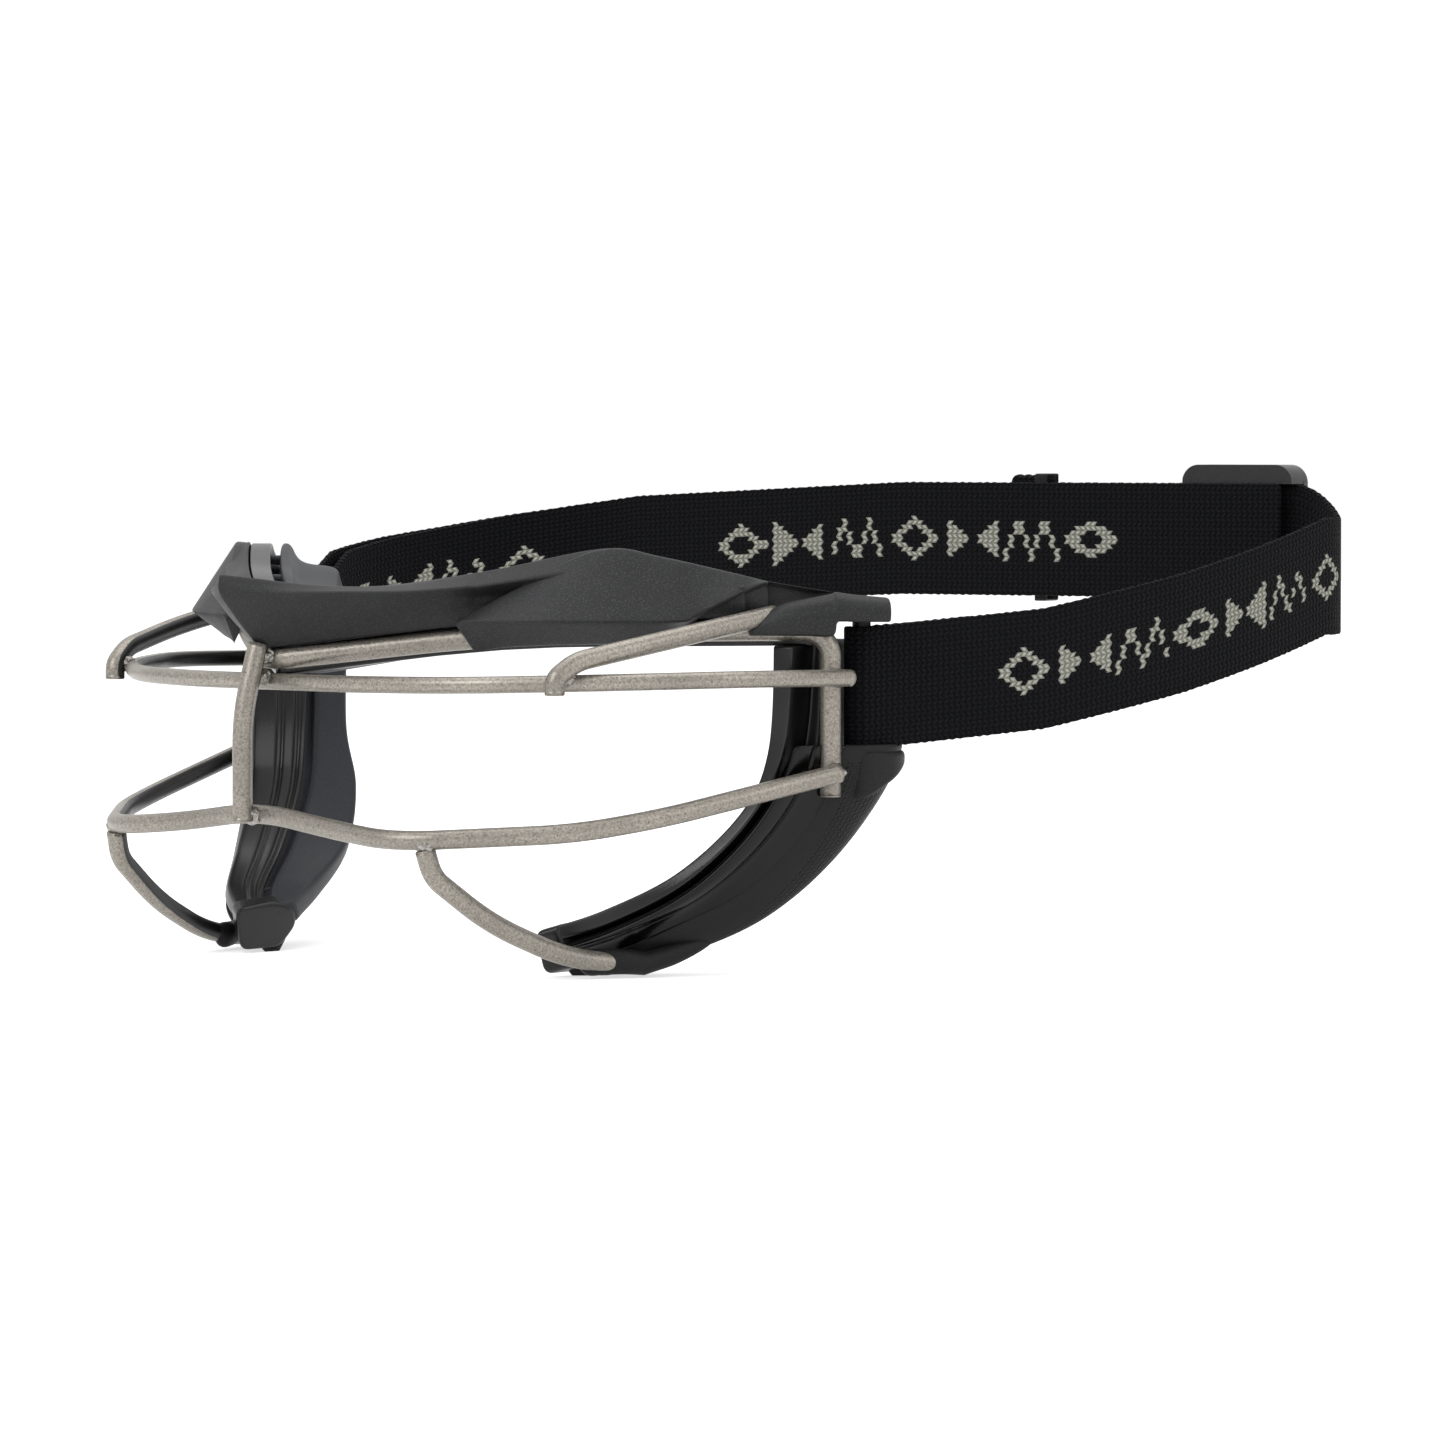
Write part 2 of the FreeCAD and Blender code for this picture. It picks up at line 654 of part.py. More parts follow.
def cheek_shell(size, frame, paths):
    """Outer rubber shell of the cheek with the lower strap lug on its top."""
    sections = []
    wall = size.cheek_shell_wall
    edge = size.frame_wall + size.seat_gap
    for station in cheek_stations(size, 1):
        wide, deep = station.shell_width, station.depth
        back = (deep * CHEEK_BACK_SHARE, station.back_width)
        outer = [(0, edge + wall)] + [(deep * along, wide * across) for along, across in CHEEK_OUTLINE_SHARES] + [back]
        inner = [(wall, edge)] + [(x + wall / 2, y - wall) for x, y in outer[1:-1]] + [(back[0], back[1] - wall)]
        outline = outer + inner[::-1]
        sections.append([station.at(depth, width) for depth, width in outline])
    shell = loft(sections)
    top = cheek_stations(size, 1)[0]
    rim = [top.at(top.depth * deep, top.shell_width * wide) for deep, wide in LUG_OUTLINE_SHARES]
    rim = [Vector(point.x, point.y, -size.lug_top_drop) for point in rim]
    lug = Part.Face(Part.makePolygon(rim + rim[:1])).extrude(Vector(0, 0, -size.lug_height))
    clear = 2 * size.seat_gap
    wires = ((paths.rail, size.rail_diameter), (paths.lower, size.lower_bar_diameter), (paths.lower_strut, size.lower_strut_diameter))
    tubes = [tube(path, diameter + clear) for path, diameter in wires]
    reach = size.temple_half_width + size.temple_depth
    below = Part.makeBox(2 * reach, 2 * reach, reach, Vector(-reach, -reach, -size.standing_height - reach))
    return cleared(shell.fuse(lug), frame, *tubes, below)


def strap_post(size):
    """Post that the strap is looped round, between the two lugs of one temple."""
    low = -size.lug_top_drop - size.post_socket
    high = size.cap_floor + size.post_socket
    foot = Vector(size.post_half_spacing, size.post_depth, low)
    return Part.makeCylinder(size.post_diameter / 2, high - low, foot)


def post_hole(size):
    """Hole for the strap post's ends."""
    low = -size.lug_top_drop - size.post_socket - size.seat_gap
    high = size.cap_floor + size.post_socket + size.seat_gap
    foot = Vector(size.post_half_spacing, size.post_depth, low)
    return Part.makeCylinder(size.post_diameter / 2 + size.seat_gap / 3, high - low, foot)


class StrapLoop:
    """Plan of the strap: near arc, tight rear turn, straight far run and far arc."""

    def __init__(self, size):
        self.size = size
        near = size.strap_near_heading
        rear = near + size.strap_near_turn
        run = size.strap_run_heading
        far = size.strap_far_heading
        start = Vector(size.post_half_spacing, size.post_depth, 0)
        goal = Vector(-size.post_half_spacing, size.post_depth, 0)
        rear_start = start + self.swing(near, rear) * size.strap_near_radius
        run_start = rear_start + self.swing(rear, run) * size.strap_rear_radius
        gap = goal - run_start
        ahead = heading_vector(run)
        swing = self.swing(run, far)
        area = ahead.x * swing.y - ahead.y * swing.x
        self.run_length = (gap.x * swing.y - gap.y * swing.x) / area
        self.far_radius = (ahead.x * gap.y - ahead.y * gap.x) / area
        self.legs = (
            (start, near, rear, size.strap_near_radius),
            (rear_start, rear, run, size.strap_rear_radius),
            (run_start, run, run, None),
            (run_start + ahead * self.run_length, run, far, self.far_radius),
        )
        self.near_length = size.strap_near_radius * math.radians(rear - near)
        self.rear_length = size.strap_rear_radius * math.radians(run - rear)
        self.far_length = self.far_radius * math.radians(far - run)
        self.rearmost = (rear_start + self.swing(rear, 180.0) * size.strap_rear_radius).y + size.strap_thickness / 2

    @staticmethod
    def swing(start, end):
        """Displacement of a left turn of unit radius from one heading to another."""
        first, last = math.radians(start), math.radians(end)
        return Vector(math.sin(last) - math.sin(first), math.cos(first) - math.cos(last), 0)

    def lengths(self):
        """Lengths of the four legs."""
        return (self.near_length, self.rear_length, self.run_length, self.far_length)

    def plan(self, leg, share):
        """Point and heading at a share of a leg."""
        start, first, last, radius = self.legs[leg]
        heading = first + (last - first) * share
        if radius is None:
            return start + heading_vector(first) * self.run_length * share, heading
        return start + self.swing(first, heading) * radius, heading

    def rise(self, leg, share):
        """Height of the strap's middle over the posts' middle."""
        level = self.size.strap_level_length / self.run_length
        if leg == 0:
            height = blend(NEAR_RISE_SHARES, share)
        elif leg == 1:
            height = NEAR_RISE_SHARES[-1][1] + (1 - NEAR_RISE_SHARES[-1][1]) * math.sin(share * math.pi / 2)
        elif leg == 2:
            height = 1 + (FAR_RISE_SHARES[0][1] - 1) * max(0.0, (share - level) / (1 - level))
        else:
            height = blend(FAR_RISE_SHARES, share)
        return self.size.strap_rise * height - self.size.strap_drop

    def section(self, leg, share, out):
        """Cross-section of the strap, so far out from the loop's line."""
        size = self.size
        point, heading = self.plan(leg, share)
        normal = right_of(heading)
        middle = point + normal * out + Vector(0, 0, self.rise(leg, share))
        across = normal * (size.strap_thickness / 2)
        up = Vector(0, 0, size.strap_width / 2)
        return [middle - across - up, middle + across - up, middle + across + up, middle - across + up]

    def strip(self, leg, shares, outs):
        """Strap along a leg, so far out from the loop's line at each share."""
        return loft([self.section(leg, share, out) for share, out in zip(shares, outs)])

    def wrap(self, leg, share, radius):
        """Half ring of strap round a post, at one end of the loop."""
        size = self.size
        point, heading = self.plan(leg, share)
        middle = self.rise(leg, share)
        low = Vector(point.x, point.y, middle - size.strap_width / 2)
        outer = Part.makeCylinder(radius + size.strap_thickness / 2, size.strap_width, low)
        inner = Part.makeCylinder(radius - size.strap_thickness / 2, size.strap_width, low)
        ring = outer.cut(inner)
        reach = 2 * (radius + size.strap_thickness)
        ahead = heading_vector(heading) * (1 if share == 0 else -1)
        side = right_of(heading)
        corner = low - side * reach
        half = Part.Face(Part.makePolygon([
            corner, corner + side * 2 * reach, corner + side * 2 * reach - ahead * reach, corner - ahead * reach, corner,
        ])).extrude(Vector(0, 0, size.strap_width))
        return one_solid(ring.common(half))


def steps(end, count):
    """Evenly spaced shares from zero to the end."""
    return [end * step / count for step in range(count + 1)]


def leaving_post(length, stretch):
    """Share of the wrap's radius still left at a length from the post."""
    return max(0.0, 1 - length / stretch) ** 2


def tab_out(size, wrap_radius, length):
    """How far out the sewn tab lies at a length from the near post."""
    laid = wrap_radius * leaving_post(length, size.strap_blend_length) - size.strap_thickness
    part = min(1.0, 2 * length / size.strap_tab_length)
    return -wrap_radius + (wrap_radius + laid) * part


def strap_hem(size, loop, place):
    """Folded end of the tail, thicker than the strap, behind the keeper."""
    ahead = heading_vector(size.strap_run_heading)
    side = right_of(size.strap_run_heading)
    middle = loop.plan(2, place / loop.run_length)[0] + Vector(0, 0, loop.rise(2, 0))
    near = middle + side * (size.strap_thickness / 2 + size.strap_gap) - Vector(0, 0, size.strap_width / 2)
    far = near + side * size.hem_thickness
    run = ahead * size.hem_length
    return Part.Face(Part.makePolygon([near, far, far + run, near + run, near])).extrude(Vector(0, 0, size.strap_width))


def strap_pieces(size, loop):
    """Stretches of the strap, each as a solid of its own."""
    near, _, run, far = loop.lengths()
    wrap_radius = size.post_diameter / 2 + size.strap_gap + size.strap_thickness / 2
    layer = size.strap_thickness + size.slider_bar + 2 * size.running_gap
    near_shares = steps(1, STRAP_SECTIONS)
    near_outs = [wrap_radius * leaving_post(share * near, size.strap_blend_length) for share in near_shares]
    tab_shares = steps(size.strap_tab_length / near, STRAP_SECTIONS // 2)
    tab_outs = [tab_out(size, wrap_radius, share * near) for share in tab_shares]
    left_over = [leaving_post((1 - share) * far, size.strap_blend_length) for share in near_shares]
    far_outs = [wrap_radius * part for part in left_over]
    return_outs = [-layer + (layer - wrap_radius) * part for part in left_over]
    level = size.strap_level_length / run
    start = size.return_start / run
    tail_end = size.keeper_centre + size.keeper_length / 2 + size.hem_gap
    tail_out = size.strap_thickness + size.strap_gap
    near_run = loop.strip(0, near_shares, near_outs)
    return {
        "strap_near_run": near_run,
        "strap_near_loop": loop.wrap(0, 0, wrap_radius),
        "strap_near_tab": one_solid(loop.strip(0, tab_shares, tab_outs).cut(near_run)),
        "strap_rear_turn": loop.strip(1, near_shares, [0] * len(near_shares)),
        "strap_far_run": loop.strip(2, (0, level), (0, 0)),
        "strap_far_slope": loop.strip(2, (level, 1), (0, 0)),
        "strap_far_turn": loop.strip(3, near_shares, far_outs),
        "strap_far_loop": loop.wrap(3, 1, wrap_radius),
        "strap_return_turn": loop.strip(3, near_shares, return_outs),
        "strap_return_slope": loop.strip(2, (level, 1), (-layer, -layer)),
        "strap_return_run": loop.strip(2, (start, level), (-layer, -layer)),
        "strap_tail": loop.strip(2, (size.tail_start / run, tail_end / run), (tail_out, tail_out)),
        "strap_hem": strap_hem(size, loop, tail_end),
    }


def add_shape(doc, name, shape, placement):
    """Put a finished shape in the document under its node's name."""
    feature = doc.addObject("Part::Feature", name)
    feature.Label = name
    feature.Shape = shape
    feature.Placement = placement
    return feature


def origin_plane(body, role):
    """One of a body's own origin planes."""
    return next(plane for plane in body.Origin.OriginFeatures if plane.Role == role)


def rectangle_sketch(body, name, plane, left, right, low, high):
    """Sketch of an upright rectangle whose four distances are expressions of the sheet."""
    sketch = body.newObject("Sketcher::SketchObject", name)
    sketch.AttachmentSupport = [(origin_plane(body, plane), "")]
    sketch.MapMode = "FlatFace"
    corners = [Vector(-1, -1, 0), Vector(1, -1, 0), Vector(1, 1, 0), Vector(-1, 1, 0)]
    for index in range(4):
        sketch.addGeometry(Part.LineSegment(corners[index], corners[(index + 1) % 4]), False)
    for index in range(4):
        sketch.addConstraint(Sketcher.Constraint("Coincident", index, 2, (index + 1) % 4, 1))
        sketch.addConstraint(Sketcher.Constraint("Vertical" if index % 2 else "Horizontal", index))
    for label, kind, index, text in (
        ("left", "DistanceX", 3, left), ("right", "DistanceX", 1, right),
        ("low", "DistanceY", 0, low), ("high", "DistanceY", 2, high),
    ):
        number = sketch.addConstraint(Sketcher.Constraint(kind, -1, 1, index, 1, 1.0 if index in (1, 2) else -1.0))
        sketch.renameConstraint(number, label)
        sketch.setExpression(f"Constraints.{label}", text)
    return sketch


def add_feature(body, kind, name, profile, length, **values):
    """Pad or pocket of a sketch, with its length bound to the sheet."""
    feature = body.newObject(kind, name)
    feature.Profile = profile
    for key, value in values.items():
        setattr(feature, key, value)
    feature.setExpression("Length", length)
    return feature


def strap_frame(size, loop, place):
    """Placement of a piece on the far run: X along the run, Y to the inside, Z up."""
    point = loop.plan(2, place / loop.run_length)[0] + Vector(0, 0, loop.rise(2, 0))
    return Placement(point, Rotation(Vector(0, 0, 1), size.strap_run_heading))


def rear_reach(size, loop):
    """How far back the product reaches: the strap's rear turn or the slider's outer corner."""
    outside = 1.5 * size.strap_thickness + size.strap_gap + size.running_gap + size.slider_bar
    corner = loop.plan(2, (size.slider_centre - size.slider_length / 2) / loop.run_length)[0]
    return max(loop.rearmost, (corner + right_of(size.strap_run_heading) * outside).y)


def slider_body(doc):
    """Three-bar slider: two rails over the strap's edges, two end bars outside, one bar inside."""
    body = doc.addObject("PartDesign::Body", "slider")
    body.Label = "slider"
    outside = "sizes.strap_thickness * 1.5 + sizes.strap_gap + sizes.running_gap + sizes.slider_bar"
    inside = "sizes.strap_thickness / 2 + sizes.running_gap + sizes.slider_bar"
    tall = "sizes.strap_width / 2 + sizes.edge_gap + sizes.slider_rail"
    slot = "sizes.strap_width / 2 + sizes.edge_gap"
    half = "sizes.slider_length / 2"
    block = rectangle_sketch(body, "slider_plan", "XY_Plane", f"-({half})", half, f"-({outside})", inside)
    add_feature(body, "PartDesign::Pad", "slider_block", block, f"2 * ({tall})", Midplane=True)
    doc.recompute()
    uprights = body.newObject("PartDesign::Fillet", "slider_corners")
    names = []
    for index, edge in enumerate(doc.slider_block.Shape.Edges, start=1):
        ends = edge.Vertexes[-1].Point - edge.Vertexes[0].Point
        if abs(ends.y) > abs(ends.x) + abs(ends.z):
            names.append(f"Edge{index}")
    uprights.Base = (doc.slider_block, names)
    uprights.setExpression("Radius", "sizes.slider_corner")
    doc.recompute()
    channel = rectangle_sketch(
        body, "slider_channel", "XY_Plane", f"-({half}) - sizes.overrun", f"{half} + sizes.overrun",
        f"-({outside} - sizes.slider_bar)", f"{inside} + sizes.overrun",
    )
    add_feature(body, "PartDesign::Pocket", "slider_throat", channel, f"2 * ({slot})", Midplane=True)
    window = rectangle_sketch(
        body, "slider_window", "XZ_Plane", f"-({half}) + sizes.slider_end_bar_width",
        f"{half} - sizes.slider_end_bar_width", f"-({slot})", slot,
    )
    add_feature(body, "PartDesign::Pocket", "slider_opening", window, "sizes.slider_length * 2", Midplane=True)
    bar = rectangle_sketch(
        body, "slider_bar_plan", "XY_Plane", "-sizes.slider_bar_width / 2", "sizes.slider_bar_width / 2",
        f"{inside} - sizes.slider_bar", inside,
    )
    add_feature(body, "PartDesign::Pad", "slider_middle_bar", bar, f"2 * ({slot}) + sizes.slider_rail", Midplane=True)
    doc.recompute()
    return body


def keeper_body(doc):
    """Keeper: a narrow band round the far run and the tail."""
    body = doc.addObject("PartDesign::Body", "keeper_ring")
    body.Label = "keeper_ring"
    outside = "sizes.strap_thickness * 1.5 + sizes.strap_gap + sizes.running_gap"
    inside = "sizes.strap_thickness / 2 + sizes.running_gap"
    slot = "sizes.strap_width / 2 + sizes.edge_gap"
    half = "sizes.keeper_length / 2"
    wall = "sizes.keeper_wall"
    block = rectangle_sketch(body, "keeper_plan", "XY_Plane", f"-({half})", half, f"-({outside} + {wall})", f"{inside} + {wall}")
    add_feature(body, "PartDesign::Pad", "keeper_block", block, f"2 * ({slot} + {wall})", Midplane=True)
    hole = rectangle_sketch(
        body, "keeper_slot", "XY_Plane", f"-({half}) - sizes.overrun", f"{half} + sizes.overrun", f"-({outside})", inside,
    )
    add_feature(body, "PartDesign::Pocket", "keeper_opening", hole, f"2 * ({slot})", Midplane=True)
    doc.recompute()
    return body


def build(doc):
    """Build every sub-part and return the document objects that are written out."""
    size = make_sheet(doc)
    line = BrowLine(size)
    loop = StrapLoop(size)
    paths = cage_paths(size, line)
    wires = cage_wires(size, paths)

    front = nearest_on(paths.nose, Vector(0, -size.temple_depth, -size.lower_bar_drop / 2))[0].y - size.nose_bar_diameter / 2
    home = Placement(Vector(0, -(front + rear_reach(size, loop)) / 2, size.standing_height), Rotation())

    clear = 2 * size.seat_gap
    rail_clear = tube(paths.rail, size.rail_diameter + clear)
    nose_clear = tube(paths.nose, size.nose_bar_diameter + clear)
    strut_clear = tube(paths.upper_strut, size.upper_strut_diameter + clear)
    lower_strut_clear = tube(paths.lower_strut, size.lower_strut_diameter + clear)
    hole = post_hole(size)
    shapes = dict(wires)
    frame = brow_frame(size, line)
    pad = brow_pad(size, line)
    shell = cleared(brow_shell(size, line), rail_clear, nose_clear)
    shapes["brow_shell"] = shell
    shapes["brow_frame"] = cleared(frame, rail_clear)
    shapes["brow_pad"] = pad
    shapes["brow_pad_posts"] = brow_posts(size, line, frame, pad)
    cheek = cheek_frame(size)
    cushion = cheek_pad(size)
    sides = {
        "wing_panel": cleared(wing_panel(size, line), shell, rail_clear, strut_clear),
        "temple_cap": cleared(temple_cap(size, line), rail_clear, strut_clear, hole),
        "cheek_frame": cleared(cheek, lower_strut_clear, rail_clear),
        "cheek_pad": cushion,
        "cheek_pad_posts": cheek_posts(size, cheek, cushion),
        "cheek_shell": cleared(cheek_shell(size, cheek, paths), hole),
        "strap_post": strap_post(size),
    }
    for name, shape in sides.items():
        shapes[f"{name}_left"] = shape
        shapes[f"{name}_right"] = mirrored(shape)
    shapes.update(strap_pieces(size, loop))

    parts = [add_shape(doc, name, shape, home) for name, shape in shapes.items()]
    for body, place in ((slider_body(doc), size.slider_centre), (keeper_body(doc), size.keeper_centre)):
        body.Placement = home.multiply(strap_frame(size, loop, place))
        parts.append(body)
    doc.recompute()
    print(f"strap run {loop.run_length:.1f}, far radius {loop.far_radius:.1f}, loop {sum(loop.lengths()):.1f}")
    return parts


def write(doc, parts):
    """Check every object and write each sub-part to its own file."""
    broken = [item.Name for item in doc.Objects if {"Invalid", "Error"} & set(item.State)]
    broken += [part.Label for part in parts if part.Shape.isNull() or not part.Shape.isValid()]
    if broken:
        raise RuntimeError(f"these objects failed: {broken}")
    os.makedirs("parts", exist_ok=True)
    for part in parts:
        part.Shape.exportStep(f"parts/{part.Label}.step")


document = FreeCAD.newDocument("goggles")
write(document, build(document))
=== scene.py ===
"""Looks of a pair of wire-cage sports goggles: metal cage, moulded brow, pads and woven strap."""
import json
import logging
import math
from dataclasses import dataclass, field
from enum import Enum
from typing import Optional, Sequence

import bpy
import numpy as np
from mathutils import Matrix, Vector

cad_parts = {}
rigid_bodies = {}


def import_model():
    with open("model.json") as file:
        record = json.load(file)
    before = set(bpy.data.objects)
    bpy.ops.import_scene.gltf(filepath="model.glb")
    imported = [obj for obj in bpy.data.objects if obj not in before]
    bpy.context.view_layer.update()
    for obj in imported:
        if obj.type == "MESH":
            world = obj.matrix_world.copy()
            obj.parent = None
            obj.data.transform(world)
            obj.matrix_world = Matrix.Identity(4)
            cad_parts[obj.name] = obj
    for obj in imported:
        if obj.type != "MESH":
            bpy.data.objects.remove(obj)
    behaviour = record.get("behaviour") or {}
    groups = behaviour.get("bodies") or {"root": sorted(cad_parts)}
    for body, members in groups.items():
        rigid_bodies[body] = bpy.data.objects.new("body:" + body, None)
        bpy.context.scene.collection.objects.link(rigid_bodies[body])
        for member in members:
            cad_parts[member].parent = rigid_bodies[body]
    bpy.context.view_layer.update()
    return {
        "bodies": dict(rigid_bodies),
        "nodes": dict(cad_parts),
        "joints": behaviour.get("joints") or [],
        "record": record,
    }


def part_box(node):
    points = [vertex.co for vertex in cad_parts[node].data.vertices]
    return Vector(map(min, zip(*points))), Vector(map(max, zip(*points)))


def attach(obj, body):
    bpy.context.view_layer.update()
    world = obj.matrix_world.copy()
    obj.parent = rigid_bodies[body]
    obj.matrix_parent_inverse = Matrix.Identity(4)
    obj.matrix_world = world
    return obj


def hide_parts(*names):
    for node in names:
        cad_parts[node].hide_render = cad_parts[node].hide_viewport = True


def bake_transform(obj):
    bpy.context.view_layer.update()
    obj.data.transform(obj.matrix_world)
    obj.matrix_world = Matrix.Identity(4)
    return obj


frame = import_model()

LOG = logging.getLogger("goggles")
BODY = "goggles"


# Mesh helpers.


def unit(vectors: np.ndarray) -> np.ndarray:
    """Vectors scaled to length one along the last axis."""
    return vectors / np.maximum(np.linalg.norm(vectors, axis=-1, keepdims=True), 1e-12)


def run_lengths(points: np.ndarray) -> np.ndarray:
    """Length along a line at each of its points."""
    return np.concatenate([[0], np.cumsum(np.linalg.norm(np.diff(points, axis=0), axis=1))])


def between(place: np.ndarray, known: np.ndarray, rows: np.ndarray) -> np.ndarray:
    """Rows at given places, on straight lines between the rows at the known places."""
    return np.stack([np.interp(place, known, column) for column in rows.T], axis=-1)


def cubic_rows(rows: np.ndarray, count: int) -> np.ndarray:
    """Rows on a cubic curve through the given rows.

    The curve between two rows is the Catmull-Rom cubic of them and their two neighbours.

    Args:
        rows: array whose first axis runs along the curve.
        count: number of rows from one given row to the next.

    Returns:
        Array with (len(rows) - 1) * count + 1 rows.
    """
    rows = np.asarray(rows, float)
    last = len(rows) - 1
    place = np.linspace(0, last, last * count + 1)
    index = np.minimum(place.astype(int), last - 1)
    t = (place - index).reshape((-1,) + (1,) * (rows.ndim - 1))
    before, start = rows[np.maximum(index - 1, 0)], rows[index]
    end, after = rows[index + 1], rows[np.minimum(index + 2, last)]
    return (
        (2 * t**2 - t**3 - t) / 2 * before + (3 * t**3 - 5 * t**2 + 2) / 2 * start
        + (t + 4 * t**2 - 3 * t**3) / 2 * end + (t**3 - t**2) / 2 * after
    )


def rounded_rings(corners: np.ndarray, radius: float, arc: int, flat: int) -> np.ndarray:
    """Closed rings whose corners are rounded.

    Every corner becomes a quadratic curve that starts and ends at the radius from it, and
    the flats between corners get evenly spaced points.

    Args:
        corners: array (stations, corners, 3).
        radius: how far from a corner its curve starts, in metres.
        arc: points on each corner's curve.
        flat: points between one curve and the next.

    Returns:
        Array (stations, corners * (arc + flat), 3).
    """
    behind = np.roll(corners, 1, axis=1) - corners
    ahead = np.roll(corners, -1, axis=1) - corners
    reach_behind = np.minimum(radius, 0.46 * np.linalg.norm(behind, axis=-1, keepdims=True))
    reach_ahead = np.minimum(radius, 0.46 * np.linalg.norm(ahead, axis=-1, keepdims=True))
    start = (corners + unit(behind) * reach_behind)[:, :, None, :]
    end = (corners + unit(ahead) * reach_ahead)[:, :, None, :]
    t = np.linspace(0, 1, arc)[None, None, :, None]
    curve = (1 - t) ** 2 * start + 2 * t * (1 - t) * corners[:, :, None, :] + t**2 * end
    following = np.roll(start, -1, axis=1)
    s = (np.arange(1, flat + 1) / (flat + 1))[None, None, :, None]
    straight = end * (1 - s) + following * s
    return np.concatenate([curve, straight], axis=2).reshape(len(corners), -1, 3)


def rounded_ends(rings: np.ndarray, radius: float, steps: int = 4) -> np.ndarray:
    """Rings with a rounded closing added at both ends.

    The added rings shrink towards the end ring's middle by one minus the cosine of an angle
    and move outwards by its sine, times the radius.

    Args:
        rings: array (stations, points, 3).
        radius: radius of the rounding in metres.
        steps: rings added at each end.

    Returns:
        The rings with 2 * steps more stations.
    """
    angles = np.linspace(0, math.pi / 2, steps + 1)[1:]
    pieces = []
    for ring, inner in ((rings[0], rings[1]), (rings[-1], rings[-2])):
        middle = ring.mean(0)
        out = unit(middle - inner.mean(0))
        spread = np.linalg.norm(ring - middle, axis=1)
        shrink = (1 - np.cos(angles))[:, None, None] * np.minimum(1, radius / spread)[None, :, None]
        moved = ring[None] + (middle - ring)[None] * shrink
        pieces.append(moved + out[None, None] * np.sin(angles)[:, None, None] * radius)
    return np.concatenate([pieces[0][::-1], rings, pieces[1]])


def placed(name: str, data: bpy.types.ID) -> bpy.types.Object:
    """New object in the scene with the given mesh, lamp or camera."""
    thing = bpy.data.objects.new(name, data)
    bpy.context.scene.collection.objects.link(thing)
    return thing


def write_map(mesh: bpy.types.Mesh, name: str, u: np.ndarray, v: np.ndarray) -> None:
    """Write a UV map from values at the vertices."""
    loops = np.empty(len(mesh.loops), np.int32)
    mesh.loops.foreach_get("vertex_index", loops)
    layer = mesh.uv_layers.new(name=name)
    layer.data.foreach_set("uv", np.stack([u[loops], v[loops]], axis=-1).ravel().astype(np.float32))


def grid_piece(
    name: str, rings: np.ndarray, across: Optional[np.ndarray] = None, start: float = 0.0,
) -> bpy.types.Object:
    """Closed mesh through rings of points, with a surface UV map in metres.

    U is the length along the stations and V the length round the ring, or the given values.

    Args:
        name: the piece's name.
        rings: array (stations, points, 3).
        across: V values (stations, points) that replace the length round the ring.
        start: U at the first station.

    Returns:
        The new object, smooth shaded, with outward normals.
    """
    stations, points = rings.shape[:2]
    index = np.arange(stations * points).reshape(stations, points)
    nxt = np.roll(index, -1, axis=1)
    quads = np.stack([index[:-1], nxt[:-1], nxt[1:], index[1:]], axis=-1).reshape(-1, 4)
    caps = np.stack([rings[0].mean(0), rings[-1].mean(0)])
    first, last = stations * points, stations * points + 1
    start_fan = np.stack([nxt[0], index[0], np.full(points, first)], axis=-1)
    end_fan = np.stack([index[-1], nxt[-1], np.full(points, last)], axis=-1)
    vertices = np.concatenate([rings.reshape(-1, 3), caps])
    mesh = bpy.data.meshes.new(name)
    mesh.from_pydata(vertices.tolist(), [], quads.tolist() + start_fan.tolist() + end_fan.tolist())
    along = start + run_lengths(rings.mean(1))
    around = np.linalg.norm(rings - np.roll(rings, 1, axis=1), axis=-1)
    around[:, 0] = 0
    around = np.cumsum(around, axis=1) if across is None else across
    u = np.concatenate([np.repeat(along, points), [along[0], along[-1]]])
    v = np.concatenate([around.ravel(), [around[0].mean(), around[-1].mean()]])
    write_map(mesh, "surface", u, v)
    mesh.polygons.foreach_set("use_smooth", np.ones(len(mesh.polygons), bool))
    mesh.update()
    outward(mesh)
    return placed(name, mesh)


def outward(mesh: bpy.types.Mesh) -> None:
    """Turn all faces of a closed mesh outwards, by the sign of its volume."""
    corner = np.empty(len(mesh.vertices) * 3)
    mesh.vertices.foreach_get("co", corner)
    corner = corner.reshape(-1, 3)
    mesh.calc_loop_triangles()
    triangles = np.empty(len(mesh.loop_triangles) * 3, np.int32)
    mesh.loop_triangles.foreach_get("vertices", triangles)
    a, b, c = (corner[triangles.reshape(-1, 3)[:, k]] for k in range(3))
    if np.einsum("ij,ij->i", a, np.cross(b, c)).sum() < 0:
        mesh.flip_normals()


def right_name(name: str) -> str:
    """Name of the twin on the wearer's right of a piece or a node."""
    return name.replace("_left", "_right") if "_left" in name else f"{name}_right"


def mirrored_piece(piece: bpy.types.Object) -> bpy.types.Object:
    """The same piece on the wearer's right, with its own mesh."""
    twin = piece.copy()
    twin.data = piece.data.copy()
    twin.name = twin.data.name = right_name(piece.name)
    twin.data.transform(Matrix.Scale(-1, 4, Vector((1, 0, 0))))
    twin.data.flip_normals()
    bpy.context.scene.collection.objects.link(twin)
    return twin


